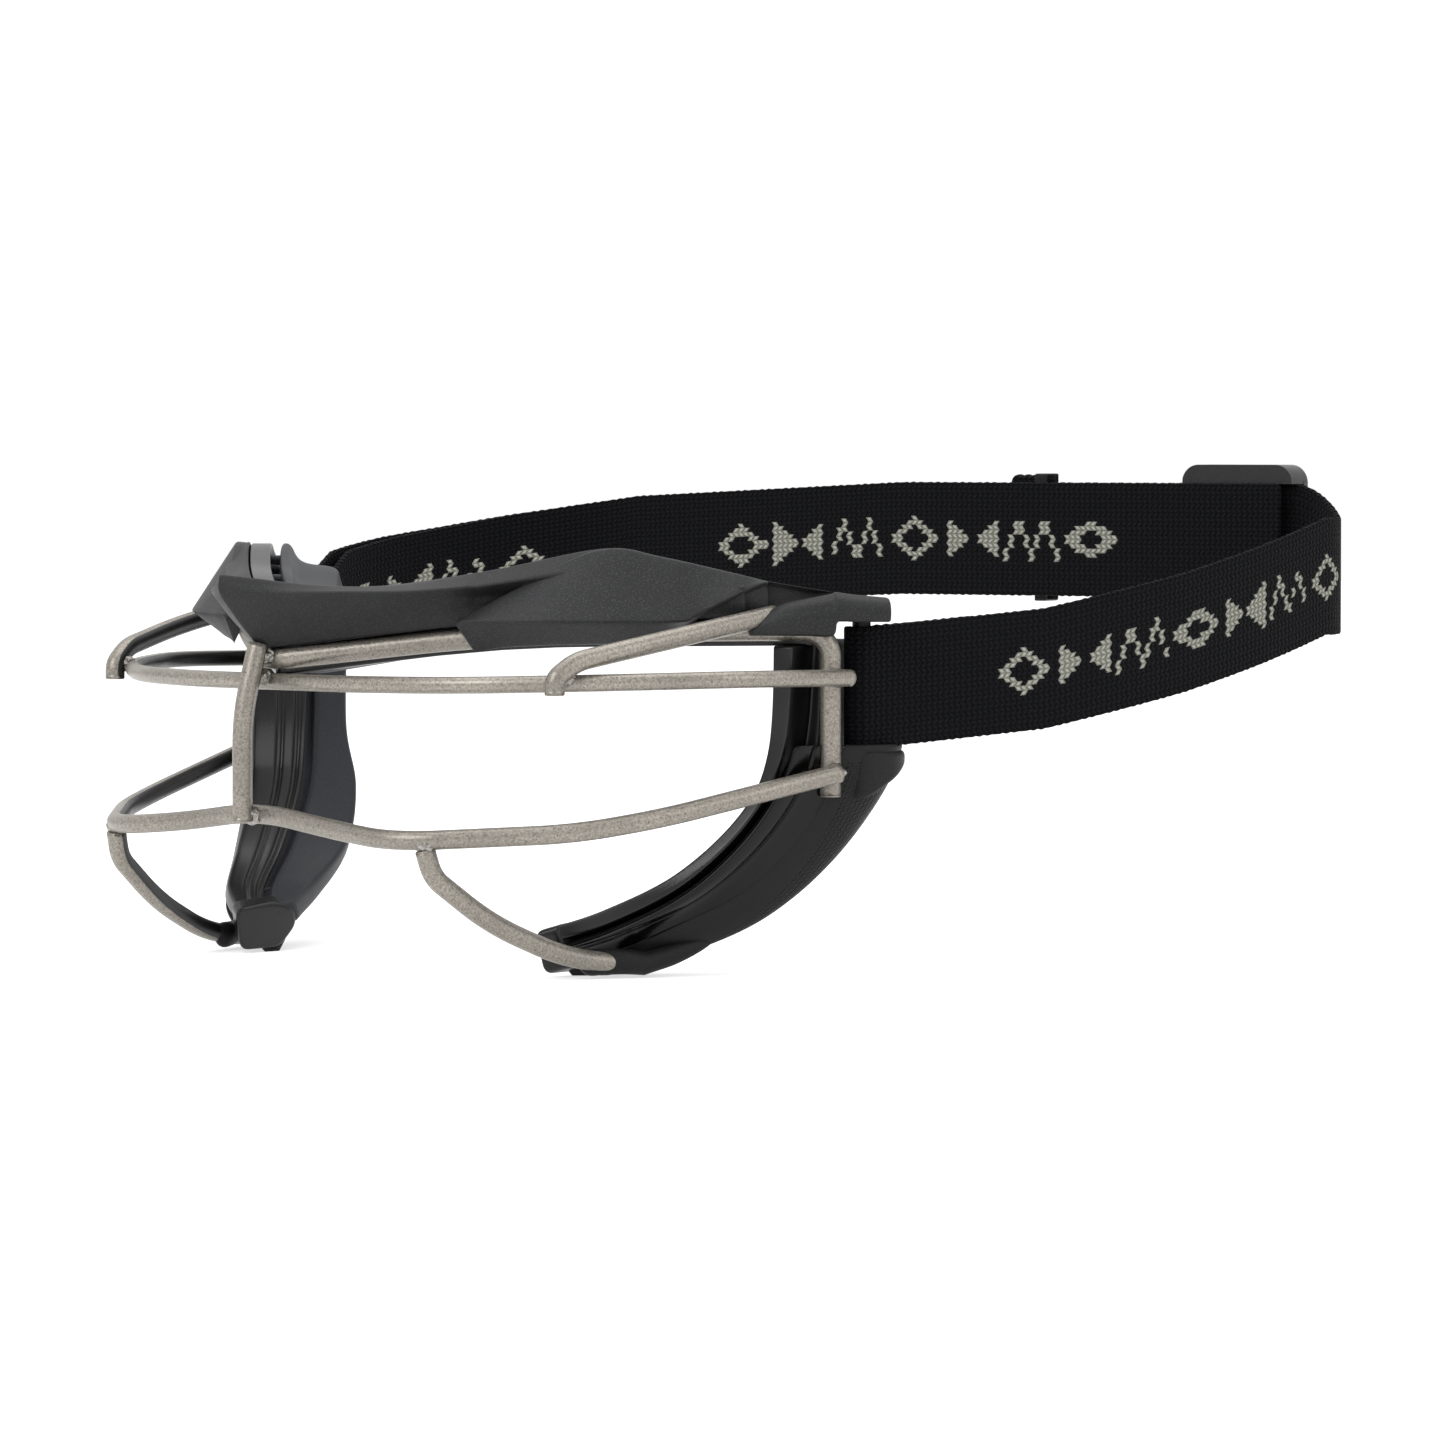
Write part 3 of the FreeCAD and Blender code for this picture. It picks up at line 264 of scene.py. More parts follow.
def merged_copy(node: str, name: str) -> bpy.types.Object:
    """A copy of a CAD node's mesh with its loose triangles joined."""
    mesh = bpy.data.objects[node].data.copy()
    mesh.name = name
    piece = placed(name, mesh)
    bpy.context.view_layer.objects.active = piece
    piece.select_set(True)
    bpy.ops.object.mode_set(mode="EDIT")
    bpy.ops.mesh.select_all(action="SELECT")
    bpy.ops.mesh.remove_doubles(threshold=1e-6)
    bpy.ops.mesh.dissolve_limited(angle_limit=math.radians(1.0))
    bpy.ops.object.mode_set(mode="OBJECT")
    piece.select_set(False)
    return piece


def bevelled(piece: bpy.types.Object, width: float, angle: float = 30.0) -> bpy.types.Object:
    """Give a piece rounded edges and weighted normals."""
    bevel = piece.modifiers.new("edges", "BEVEL")
    bevel.width = width
    bevel.segments = 3
    bevel.limit_method = "ANGLE"
    bevel.angle_limit = math.radians(angle)
    piece.data.polygons.foreach_set("use_smooth", np.ones(len(piece.data.polygons), bool))
    piece.modifiers.new("normals", "WEIGHTED_NORMAL")
    return piece


# Material helpers.


class Coordinates(Enum):
    """Where a finish reads its pattern from: the object's own frame, or a UV map of that name."""

    OBJECT = "Object"
    SURFACE = "surface"
    SHARE = "share"


class Signal:
    """Output of a node, with the sums and curves that the finishes are written with."""

    def __init__(self, sheet: "NodeSheet", socket: bpy.types.NodeSocket) -> None:
        """Keep the sheet that the node is on and the node's output."""
        self.sheet = sheet
        self.socket = socket

    def math(self, operation: str, other: object = 0.0) -> "Signal":
        """Result of one sum of this signal and another signal or number."""
        return self.sheet.result("ShaderNodeMath", (self, other), operation=operation)

    def __add__(self, other: object) -> "Signal":
        """Sum."""
        return self.math("ADD", other)

    def __sub__(self, other: object) -> "Signal":
        """Difference."""
        return self.math("SUBTRACT", other)

    def __rsub__(self, other: float) -> "Signal":
        """Difference from a number."""
        return self.sheet.result("ShaderNodeMath", (other, self), operation="SUBTRACT")

    def __mul__(self, other: object) -> "Signal":
        """Product."""
        return self.math("MULTIPLY", other)

    def __truediv__(self, other: object) -> "Signal":
        """Quotient."""
        return self.math("DIVIDE", other)

    def __mod__(self, other: object) -> "Signal":
        """Remainder."""
        return self.math("MODULO", other)

    def __lt__(self, other: object) -> "Signal":
        """One where this signal is smaller, else zero."""
        return self.math("LESS_THAN", other)

    def __gt__(self, other: object) -> "Signal":
        """One where this signal is larger, else zero."""
        return self.math("GREATER_THAN", other)

    def __abs__(self) -> "Signal":
        """Size without its sign."""
        return self.math("ABSOLUTE")

    def ramp(self, low: float, high: float, start: float = 0.0, end: float = 1.0,
             curve: str = "LINEAR") -> "Signal":
        """Signal carried from one range to another and held inside it."""
        values = (self, low, high, start, end)
        return self.sheet.result("ShaderNodeMapRange", values, interpolation_type=curve)

    def blend(self, first: object, second: object) -> "Signal":
        """Colour between two colours, at this signal's share of the way."""
        node = self.sheet.add("ShaderNodeMix", data_type="RGBA")
        for value, index in ((self, 0), (first, 6), (second, 7)):
            self.sheet.link(value, node.inputs[index])
        return Signal(self.sheet, node.outputs[2])

    def bump(self, distance: float, strength: float) -> "Signal":
        """Normal that is tilted by this signal as a height."""
        node = self.sheet.add("ShaderNodeBump")
        for value, name in ((self, "Height"), (distance, "Distance"), (strength, "Strength")):
            self.sheet.link(value, node.inputs[name])
        return Signal(self.sheet, node.outputs[0])

    def split(self) -> list:
        """The three numbers of a vector."""
        node = self.sheet.add("ShaderNodeSeparateXYZ")
        self.sheet.link(self, node.inputs[0])
        return [Signal(self.sheet, socket) for socket in node.outputs]


class NodeSheet:
    """Node tree of a material or a world, with short calls for the nodes that are used."""

    def __init__(self, owner: bpy.types.ID) -> None:
        """Start a sheet on a new material or world."""
        owner.use_nodes = True
        self.owner = owner
        self.tree = owner.node_tree

    @classmethod
    def material(cls, name: str) -> "NodeSheet":
        """Sheet of a new material."""
        return cls(bpy.data.materials.new(name))

    def add(self, kind: str, **values: object) -> bpy.types.Node:
        """Add a node and set its properties."""
        node = self.tree.nodes.new(kind)
        for key, value in values.items():
            setattr(node, key, value)
        return node

    def link(self, source: object, target: bpy.types.NodeSocket) -> None:
        """Join a signal to a socket, or set the socket to a number or colour."""
        if isinstance(source, Signal):
            self.tree.links.new(source.socket, target)
        else:
            target.default_value = source

    def output(self, kind: str, name: str, **values: object) -> Signal:
        """A named output of a new node."""
        return Signal(self, self.add(kind, **values).outputs[name])

    def result(self, kind: str, values: Sequence, **properties: object) -> Signal:
        """First output of a new node whose inputs get the values in order."""
        node = self.add(kind, **properties)
        for value, socket in zip(values, node.inputs):
            self.link(value, socket)
        return Signal(self, node.outputs[0])

    def coordinates(self, kind: Coordinates) -> Signal:
        """Position that patterns are read at."""
        if kind is Coordinates.OBJECT:
            return self.output("ShaderNodeTexCoord", kind.value)
        return self.output("ShaderNodeUVMap", "UV", uv_map=kind.value)

    def texture(self, kind: str, output: str, position: Signal, **inputs: float) -> Signal:
        """Output of a texture node at a position."""
        node = self.add(kind)
        self.link(position, node.inputs["Vector"])
        for name, value in inputs.items():
            node.inputs[name].default_value = value
        return Signal(self, node.outputs[output])

    def noise(self, position: Signal, scale: float, detail: float = 2.0, rough: float = 0.5) -> Signal:
        """Value of fractal noise."""
        return self.texture("ShaderNodeTexNoise", "Fac", position, Scale=scale, Detail=detail, Roughness=rough)

    def cells(self, position: Signal, scale: float) -> Signal:
        """Distance to the nearest point of a cell pattern."""
        return self.texture("ShaderNodeTexVoronoi", "Distance", position, Scale=scale)

    def finish(self, colour: object, rough: object, normal: Optional[Signal] = None, metallic: object = 0.0,
               sheen: float = 0.0, shine: float = 0.5) -> bpy.types.Material:
        """Connect the shader and return the material."""
        inputs = self.tree.nodes["Principled BSDF"].inputs
        for name, value in (
            ("Base Color", colour), ("Roughness", rough), ("Normal", normal), ("Metallic", metallic),
            ("Sheen Weight", sheen), ("Specular IOR Level", shine),
        ):
            if value is not None:
                self.link(value, inputs[name])
        return self.owner


def grey(level: float, red: float = 1.0, blue: float = 1.0) -> tuple:
    """A grey with a slight tint, as red, green, blue and alpha."""
    return (level * red, level, level * blue, 1.0)


@dataclass(frozen=True)
class CageMetal:
    """Grained titanium-coloured wire with a matt black coat on the side that faces the eyes."""

    name: str
    light: tuple = grey(0.42, 1.09, 0.87)
    dark: tuple = grey(0.15, 1.1, 0.86)
    coat: tuple = grey(0.008)
    eye_point: tuple = (0.0, -0.03, 0.052)
    flatness: tuple = (1.0, 1.0, 0.35)
    coat_edge: float = 0.45
    coat_fade: float = 0.06
    wobble: float = 0.12
    grain: float = 2100.0
    patch: float = 60.0
    metallic: float = 0.5

    def make(self) -> bpy.types.Material:
        """Build the material.

        Returns:
            Metal with a coat where the surface's direction to the eyes is past the coat's edge.
        """
        sheet = NodeSheet.material(self.name)
        position = sheet.coordinates(Coordinates.OBJECT)
        coarse = sheet.noise(position, self.grain / 3, 3.0, 0.6)
        fine = sheet.noise(position, self.grain, 3.0, 0.65)
        tone = fine.ramp(0.3, 0.7) * sheet.noise(position, self.patch).ramp(0.25, 0.7, 0.55, 1.0)
        towards = sheet.result("ShaderNodeVectorMath", (self.eye_point, position), operation="SUBTRACT")
        level = sheet.result("ShaderNodeVectorMath", (towards, self.flatness), operation="MULTIPLY")
        aim = sheet.result("ShaderNodeVectorMath", (level,), operation="NORMALIZE")
        facing = sheet.add("ShaderNodeVectorMath", operation="DOT_PRODUCT")
        sheet.link(aim, facing.inputs[0])
        sheet.link(sheet.output("ShaderNodeNewGeometry", "Normal"), facing.inputs[1])
        edge = sheet.noise(position, 300.0) * self.wobble + Signal(sheet, facing.outputs["Value"])
        coated = edge.ramp(self.coat_edge, self.coat_edge + self.coat_fade)
        colour = coated.blend(tone.blend(self.dark, self.light), self.coat)
        rough = coated * 0.06 + fine.ramp(0.3, 0.7, 0.26, 0.42)
        height = (coarse * 0.6 + fine * 0.4) * (1 - coated * 0.7)
        return sheet.finish(colour, rough, height.bump(0.0003, 0.4), (1 - coated) * self.metallic)


@dataclass(frozen=True)
class WeldMetal:
    """Bright, uneven weld metal."""

    name: str
    colour: tuple = grey(0.42, 1.05, 0.92)
    shade: tuple = grey(0.1, 1.05, 0.9)
    lump: float = 700.0

    def make(self) -> bpy.types.Material:
        """Build the material.

        Returns:
            Metal with ripples and dark pits.
        """
        sheet = NodeSheet.material(self.name)
        lumps = sheet.noise(sheet.coordinates(Coordinates.OBJECT), self.lump, 4.0, 0.6)
        colour = lumps.ramp(0.35, 0.65).blend(self.shade, self.colour)
        return sheet.finish(colour, lumps.ramp(0.3, 0.7, 0.25, 0.5), lumps.bump(0.0006, 0.9), 0.95)


@dataclass(frozen=True)
class MouldedPlastic:
    """Moulded plastic or rubber: a colour with fine speckle and a leathery or satin skin."""

    name: str
    colour: tuple
    speckle: tuple
    rough: float = 0.55
    grain: float = 2600.0
    depth: float = 0.00006
    patch: float = 45.0
    shine: float = 0.2

    def make(self) -> bpy.types.Material:
        """Build the material.

        Returns:
            Dielectric with speckles, soft patches and a fine bump.
        """
        sheet = NodeSheet.material(self.name)
        position = sheet.coordinates(Coordinates.OBJECT)
        dots = sheet.cells(position, self.grain)
        patches = sheet.noise(position, self.patch, 3.0)
        base = (dots.ramp(0.34, 0.12) * 0.8).blend(self.colour, self.speckle)
        dusty = patches.ramp(0.4, 0.75, 0.0, 0.25).blend(base, self.speckle)
        rough = patches.ramp(0.3, 0.7, self.rough - 0.05, self.rough + 0.07)
        skin = sheet.noise(position, self.grain) + dots * 0.5
        return sheet.finish(dusty, rough, skin.bump(self.depth, 0.8), shine=self.shine)


@dataclass(frozen=True)
class DottedRubber:
    """Matt rubber with rows of small raised dots on the panel at the back of the piece."""

    name: str
    colour: tuple = grey(0.007, 1.0, 1.02)
    light: tuple = grey(0.016, 1.0, 1.02)
    gloss: tuple = grey(0.003)
    raised: tuple = grey(0.03, 1.0, 1.02)
    gloss_end: float = 0.155
    gloss_rough: float = 0.2
    line: float = 0.052
    pitch: float = 0.0012
    row_share: float = 0.87
    panel_start: float = 0.185
    panel_slope: float = 0.12
    panel_end: float = 0.42
    panel_top: float = 0.07

    def dots(self, along: Signal, around: Signal) -> Signal:
        """Round dots in rows, every other row half a pitch further on.

        Args:
            along: length along the piece.
            around: length round it.

        Returns:
            One in the middle of a dot and zero between the dots.
        """
        rows = around / (self.pitch * self.row_share)
        x = ((rows.math("FLOOR") % 2.0 * (self.pitch / 2) + along) / self.pitch).math("FRACT") - 0.5
        y = rows.math("FRACT") - 0.5
        return (x * x + y * y).math("SQRT").ramp(0.36, 0.2)

    def panel(self, share_x: Signal, share_y: Signal) -> Signal:
        """One on the dotted panel, by the shares along and round the piece, else zero."""
        past = (share_y - (share_x * self.panel_slope + self.panel_start)).ramp(0.0, 0.01)
        inside = past * share_y.ramp(self.panel_end, self.panel_end - 0.01)
        return inside * share_x.ramp(self.panel_top, self.panel_top + 0.01)

    def make(self) -> bpy.types.Material:
        """Build the material.

        Returns:
            Rubber with dots on the panel and a gloss strip with fine lines along its front.
        """
        sheet = NodeSheet.material(self.name)
        position = sheet.coordinates(Coordinates.OBJECT)
        along, around, _ = sheet.coordinates(Coordinates.SURFACE).split()
        share_x, share_y, _ = sheet.coordinates(Coordinates.SHARE).split()
        dotted = self.dots(along, around) * self.panel(share_x, share_y)
        wave = (share_x * 13.0).math("SINE") * 0.008 + share_y
        glossy = wave.ramp(self.gloss_end + 0.004, self.gloss_end)
        patches = sheet.noise(position, 40.0, 3.0)
        skin = patches.ramp(0.35, 0.7, 0.0, 0.5).blend(self.colour, self.light)
        colour = (dotted * 0.6).blend(glossy.blend(skin, self.gloss), self.raised)
        groove = (share_y / self.line).math("PINGPONG", 1.0).ramp(0.0, 0.12, 0.0, 1.2) * glossy
        height = dotted + sheet.noise(position, 1500.0, 3.0) * 0.05 + groove
        rough = patches.ramp(0.3, 0.7, 0.46, 0.6) * (1 - glossy) + glossy * self.gloss_rough
        return sheet.finish(colour, rough, height.bump(0.0006, 0.9), shine=0.22)


@dataclass(frozen=True)
class Webbing:
    """Elastic webbing: dark knitted stitches with pale woven lozenges and zigzags in groups."""

    name: str
    colour: tuple = grey(0.0025, 0.98, 1.3)
    # Stitch crown colour: painted highlight on the knit.
    light: tuple = grey(0.013, 0.97, 1.25)
    thread: tuple = grey(0.62, 1.0, 0.86)
    # Pale thread colour in the dips between stitches: painted shade.
    thread_shade: tuple = grey(0.26, 1.0, 0.86)
    stitch: float = 0.0013
    pick: float = 0.0010
    group: float = 0.146
    figure: float = 0.015
    figures: float = 7.0
    shift: float = -0.038
    figure_height: float = 0.0105
    figured: bool = True

    def knit(self, along: Signal, across: Signal) -> tuple:
        """Height of the stitches and the middle of the stitch that a point lies in.

        Args:
            along: length along the strap.
            across: length across it, zero in the middle.

        Returns:
            Height, stitch middle along, stitch middle across.
        """
        row = across / self.pick
        shifted = along / self.stitch + row.math("PINGPONG", 1.0) * 0.5
        x = shifted.math("FRACT") - 0.5
        y = row.math("FRACT") - 0.5
        height = (1 - x * x * 4.0) * (1 - y * y * 3.0)
        return height, shifted.math("FLOOR") * self.stitch, (row.math("FLOOR") + 0.5) * self.pick

    def figures_mask(self, along: Signal, across: Signal) -> Signal:
        """Where the pale thread lies.

        Every group has seven cells. A cell holds a hollow lozenge, a pair of triangles that
        point at each other, or a zigzag, in turn.

        Args:
            along: middle of the stitch along the strap.
            across: middle of the stitch across it.

        Returns:
            One where the thread is pale, else zero.
        """
        cell = (along + (self.shift + 100 * self.group)) % self.group / self.figure
        number = cell.math("FLOOR")
        x, y = cell.math("FRACT") - 0.5, across / self.figure_height
        size_x, size_y = abs(x), abs(y)
        lozenge = abs(size_x + size_y - 0.36) < 0.1
        wedge = size_y < size_x * 1.1 + -0.02
        zigzag = abs(((x * 2.2).math("PINGPONG", 0.5) - 0.25) * 1.5 - y) < 0.14
        turn = number % 3.0
        first, third = turn < 0.5, turn > 1.5
        shape = lozenge * first + wedge * (1 - (first + third)) + zigzag * third
        return shape * ((size_y < 0.5) * (size_x < 0.44)) * (number < self.figures)

    def make(self) -> bpy.types.Material:
        """Build the material.

        Returns:
            Cloth with a knit bump, painted highlight on the stitch crowns and painted shade between them, and,
            where it is figured, the pale figures.
        """
        sheet = NodeSheet.material(self.name)
        along, across, _ = sheet.coordinates(Coordinates.SURFACE).split()
        height, middle, centre = self.knit(along, across)
        fuzz = sheet.noise(sheet.coordinates(Coordinates.OBJECT), 2500.0, 4.0, 0.7)
        # Painted light: the stitch height that drives the bump also makes the crowns lighter and the dips
        # between stitches darker.
        lit = height.ramp(0.2, 0.95) * fuzz.ramp(0.35, 0.7, 0.4, 1.0)
        colour = lit.blend(self.colour, self.light)
        if self.figured:
            pale = lit.ramp(0.0, 0.8).blend(self.thread_shade, self.thread)
            colour = self.figures_mask(middle, centre).blend(colour, pale)
        return sheet.finish(colour, 0.85, (fuzz * 0.25 + height).bump(0.0006, 0.9), sheen=0.02, shine=0.08)


# The goggles' own sizes, in metres. The CAD keeps the same layout in millimetres.


@dataclass
class Layout:
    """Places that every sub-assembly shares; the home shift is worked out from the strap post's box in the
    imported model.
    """

    post_spacing: float = 0.088
    post_depth: float = 0.086
    post_foot: float = -0.017
    post_diameter: float = 0.0038
    temple_half_width: float = 0.0885
    temple_depth: float = 0.0765
    start_heading: float = 31.0
    rail_middle: float = 0.0045
    rail_temple: float = 0.011
    rail_diameter: float = 0.0044
    cap_floor: float = 0.0136
    seat_gap: float = 0.0003
    normal_blend: float = 0.3
    rail_rows: tuple = ((0.0, 0.0), (0.42, 0.86), (0.8, 1.0), (1.2, 1.0))
    home: np.ndarray = field(init=False)
    end_heading: float = field(init=False)
    radius: float = field(init=False)

    def __post_init__(self) -> None:
        """Find the home shift from the strap post and the brow's plan arc from its chord."""
        low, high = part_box("strap_post_left")
        self.home = np.array([0.0, (low[1] + high[1]) / 2 - self.post_depth, low[2] - self.post_foot])
        chord = math.atan2(self.temple_depth, self.temple_half_width)
        self.end_heading = 2 * math.degrees(chord) - self.start_heading
        length = math.hypot(self.temple_depth, self.temple_half_width)
        self.radius = length / (2 * math.sin(chord - math.radians(self.start_heading)))

    def rail_height(self, share: np.ndarray) -> np.ndarray:
        """Height of the main rail's middle at shares of the way to the temple."""
        place, climb = cubic_rows(np.array(self.rail_rows), 4).T
        rise = self.rail_temple - self.rail_middle
        return self.rail_middle + rise * np.interp(np.abs(share), place, climb)

    def brow(self, share: np.ndarray, out: np.ndarray, height: np.ndarray) -> np.ndarray:
        """Points at shares along the brow line, so far out from it and at those heights.

        The line is an arc whose heading grows evenly with the share. Out is level, straight
        forward in the middle and square to the line from the blend share on.

        Args:
            share: share of the way to the temple, negative on the wearer's right.
            out: distance from the line.
            height: height over the upper bar.

        Returns:
            Points in the frame, with the arguments' common shape and a last axis of three.
        """
        share, out, height = np.broadcast_arrays(share, out, height)
        size = np.abs(share)
        heading = np.radians(self.start_heading + (self.end_heading - self.start_heading) * size)
        start = math.radians(self.start_heading)
        x = self.radius * (np.sin(heading) - math.sin(start))
        y = self.radius * (math.cos(start) - np.cos(heading))
        turned = np.minimum(1, size / self.normal_blend) * heading
        side = np.where(share < 0, -1.0, 1.0)
        points = np.stack([side * (x + out * np.sin(turned)), y - out * np.cos(turned), height], axis=-1)
        return points + self.home


@dataclass
class Wire:
    """A round wire along rounded corners, with cut ends."""

    corners: np.ndarray
    diameter: float
    tangents: dict = field(default_factory=dict)
    edge: float = 0.0003

    def middle_line(self, spacing: float = 0.0008) -> np.ndarray:
        """Evenly spaced points on straight runs joined by tangent arcs.

        At a corner with turn a and tangent length t the arc's radius is t / tan(a / 2). The
        tangent length is 0.45 of the shorter neighbouring run where none is given.

        Args:
            spacing: distance from one point to the next, in metres.

        Returns:
            Points (count, 3).
        """
        corners = self.corners
        points = [corners[:1]]
        for index in range(1, len(corners) - 1):
            before, after = corners[index] - corners[index - 1], corners[index + 1] - corners[index]
            reach = self.tangents.get(index, 0.45 * min(np.linalg.norm(before), np.linalg.norm(after)))
            before, after = unit(before), unit(after)
            turn = math.acos(float(np.clip(before @ after, -1, 1)))
            if turn < 1e-4:
                continue
            radius = reach / math.tan(turn / 2)
            side = unit(after - before * (before @ after))
            angles = np.linspace(0, turn, 24)[:, None]
            start = corners[index] - before * reach
            points.append(start + radius * (np.sin(angles) * before + (1 - np.cos(angles)) * side))
        points.append(corners[-1:])
        line = np.concatenate(points)
        length = run_lengths(line)
        return between(np.linspace(0, length[-1], max(8, int(length[-1] / spacing))), length, line)

    def rings(self, sides: int = 28) -> np.ndarray:
        """Rings round the middle line, with a small rounded edge at both cut ends.

        The ring's axes are carried along the line: each is the last one with its part along
        the new direction taken out.

        Args:
            sides: points of one ring.

        Returns:
            Array (stations, sides, 3).
        """
        line = self.middle_line()
        along = unit(np.gradient(line, axis=0))
        first = np.cross(along[0], (0.0, 0.0, 1.0) if abs(along[0][2]) < 0.8 else (1.0, 0.0, 0.0))
        axes = [unit(first)]
        for direction in along[1:]:
            axes.append(unit(axes[-1] - direction * (axes[-1] @ direction)))
        across = np.array(axes)
        up = np.cross(along, across)
        angle = np.linspace(0, 2 * math.pi, sides, endpoint=False)
        spokes = np.cos(angle)[None, :, None] * across[:, None] + np.sin(angle)[None, :, None] * up[:, None]
        rings = line[:, None] + spokes * self.diameter / 2
        caps, edge = [], self.edge
        for end, sign in ((0, -1), (-1, 1)):
            shares = np.linspace(0, math.pi / 2, 4)[:, None, None]
            radius = self.diameter / 2 - edge * (1 - np.cos(shares))
            caps.append(line[end] + spokes[end][None] * radius + along[end] * sign * edge * np.sin(shares))
        return np.concatenate([caps[0][::-1], rings, caps[1]])


def nearest(line: np.ndarray, target: Sequence[float]) -> int:
    """Index of the point of a line that lies nearest to a target."""
    return int(np.argmin(np.linalg.norm(line - np.array(target), axis=1)))


@dataclass
class Cage:
    """Welded wires in front of the face."""

    layout: Layout
    nose_diameter: float = 0.0042
    upper_diameter: float = 0.0035
    lower_diameter: float = 0.0040
    upper_strut_diameter: float = 0.0041
    lower_strut_diameter: float = 0.0042
    gap: float = 0.00015
    lower_drop: float = 0.0268
    socket_drop: float = 0.023
    root_share: float = 0.9
    root_reach: float = 0.0004
    root_rise: float = 0.15
    lap_width: float = 0.0675
    leg_width: float = 0.0492
    foot_bend: float = 0.0055
    nose_bend: float = 0.006
    nose_bow: float = 0.0042
    upper_rows: tuple = ((0.26, 0.0), (0.54, 0.07), (0.81, 0.31), (1.0, 0.66), (1.0, 1.0))
    upper_climb: tuple = (0.0, 0.00024, 0.00096, 0.00156, 0.0012)
    lower_rows: tuple = ((0.26, 0.0), (0.48, -0.028), (0.768, 0.298), (0.861, 0.51), (0.994, 1.0))
    lower_climb: tuple = (-0.0029, -0.0044, -0.00265, 0.00026, 0.0086)
    lower_peak: float = 0.0002
    lower_setback: float = 0.0029
    strut_reach: tuple = (0.0133, 0.048, -0.0248)
    strut_rows: tuple = (
        (0.0, 0.0, 0.0), (0.05, 0.03, 0.22), (0.29, 0.3, 0.62), (0.62, 0.66, 0.93), (1.0, 1.0, 1.0),
    )
    wires: dict = field(init=False)

    def __post_init__(self) -> None:
        """Work out the middle lines in the goggles' own coordinates."""
        layout = self.layout
        shares = np.array([1.0, 0.8, 0.42])
        half = layout.brow(shares, 0.0, layout.rail_height(shares)) - layout.home
        foot = np.array([half[0][0], half[0][1], -self.socket_drop])
        near = np.concatenate([foot[None], half])
        far = near[::-1] * np.array([-1, 1, 1])
        bends = {1: self.foot_bend, 4: self.nose_bend, 7: self.foot_bend}
        rail = Wire(np.concatenate([near, [[0, 0, layout.rail_middle]], far]), layout.rail_diameter, bends)
        line = rail.middle_line()
        peak = line[nearest(line, (0, -layout.temple_depth, layout.rail_middle))][1]
        top = peak - (layout.rail_diameter + self.nose_diameter) / 2 - self.gap
        front, drop = top - self.nose_bow, self.lower_drop
        nose = Wire(np.array([
            [0, top, layout.rail_middle + 0.0032], [0, front, -drop / 4],
            [0, front, -3 * drop / 4], [0, front, -drop - 0.0017],
        ]), self.nose_diameter)
        upper = self.bar(nose, 0.0001, self.upper_diameter, 0.0, self.upper_rows, self.upper_climb)
        lower = self.bar(
            nose, -drop, self.lower_diameter, self.lower_setback, self.lower_rows, self.lower_climb,
            self.lower_peak,
        )
        self.wires = {"main_rail": rail, "nose_bar": nose, "upper_bar": upper, "lower_bar": lower}
        self.wires["upper_strut_left"] = self.upper_strut(upper)
        start = lower.middle_line()
        low = start[nearest(start, (self.leg_width, 0, -drop))]
        low = low - np.array([0, 0, self.lower_diameter / 2 + self.gap])
        steps = np.array(self.strut_rows) * np.array(self.strut_reach)
        self.wires["lower_strut_left"] = Wire(low + steps, self.lower_strut_diameter)

    def bar(self, nose: Wire, height: float, diameter: float, setback: float,
            rows: Sequence, climb: Sequence, peak: Optional[float] = None) -> Wire:
        """Bent bar from one temple over the nose bar to the other.

        Args:
            nose: the nose bar, which the bar lies behind.
            height: height of the bar's middle.
            diameter: the bar's diameter.
            setback: how far short of the temple the bar ends.
            rows: shares of the half width and of the depth.
            climb: height over the middle at each row.
            peak: height of the bend behind the nose bar, if there is one.

        Returns:
            The bar.
        """
        line = nose.middle_line()
        front = line[nearest(line, (0, self.layout.temple_depth, height))][1]
        front += (self.nose_diameter + diameter) / 2 + self.gap
        side = self.layout.temple_half_width + (self.layout.rail_diameter + diameter) / 2 + self.gap
        back = self.layout.temple_depth + 0.0016 - setback
        wide, deep = np.array(rows).T
        near = np.stack([side * wide, front + (back - front) * deep, height + np.array(climb)], axis=-1)
        middle = np.array([[0.0, front, height + peak]]) if peak is not None else near[:0]
        return Wire(np.concatenate([near[::-1] * np.array([-1, 1, 1]), middle, near]), diameter)

    def upper_strut(self, upper: Wire) -> Wire:
        """Strut from outside the upper bar back up to the temple cap."""
        line = upper.middle_line()
        index = nearest(line, (self.lap_width, self.layout.temple_depth / 4, 0.0001))
        along = unit(line[index + 1] - line[index - 1])
        outward = unit(np.array([abs(along[1]), -abs(along[0]), 0.0]))
        diameter = self.upper_strut_diameter
        lap = line[index] + outward * ((self.upper_diameter + diameter) / 2 + self.gap)
        height = self.layout.cap_floor + diameter * self.root_rise
        root = self.layout.brow(np.array(self.root_share), self.root_reach, height) - self.layout.home
        knee = lap + np.array([diameter / 3, 0.0045, 0.0045])
        return Wire(np.array([
            lap - np.array([0, 0, 0.002]), lap + np.array([0, 0, diameter / 4]), knee,
            (knee + root) / 2 + outward * 0.003, root,
        ]), diameter)

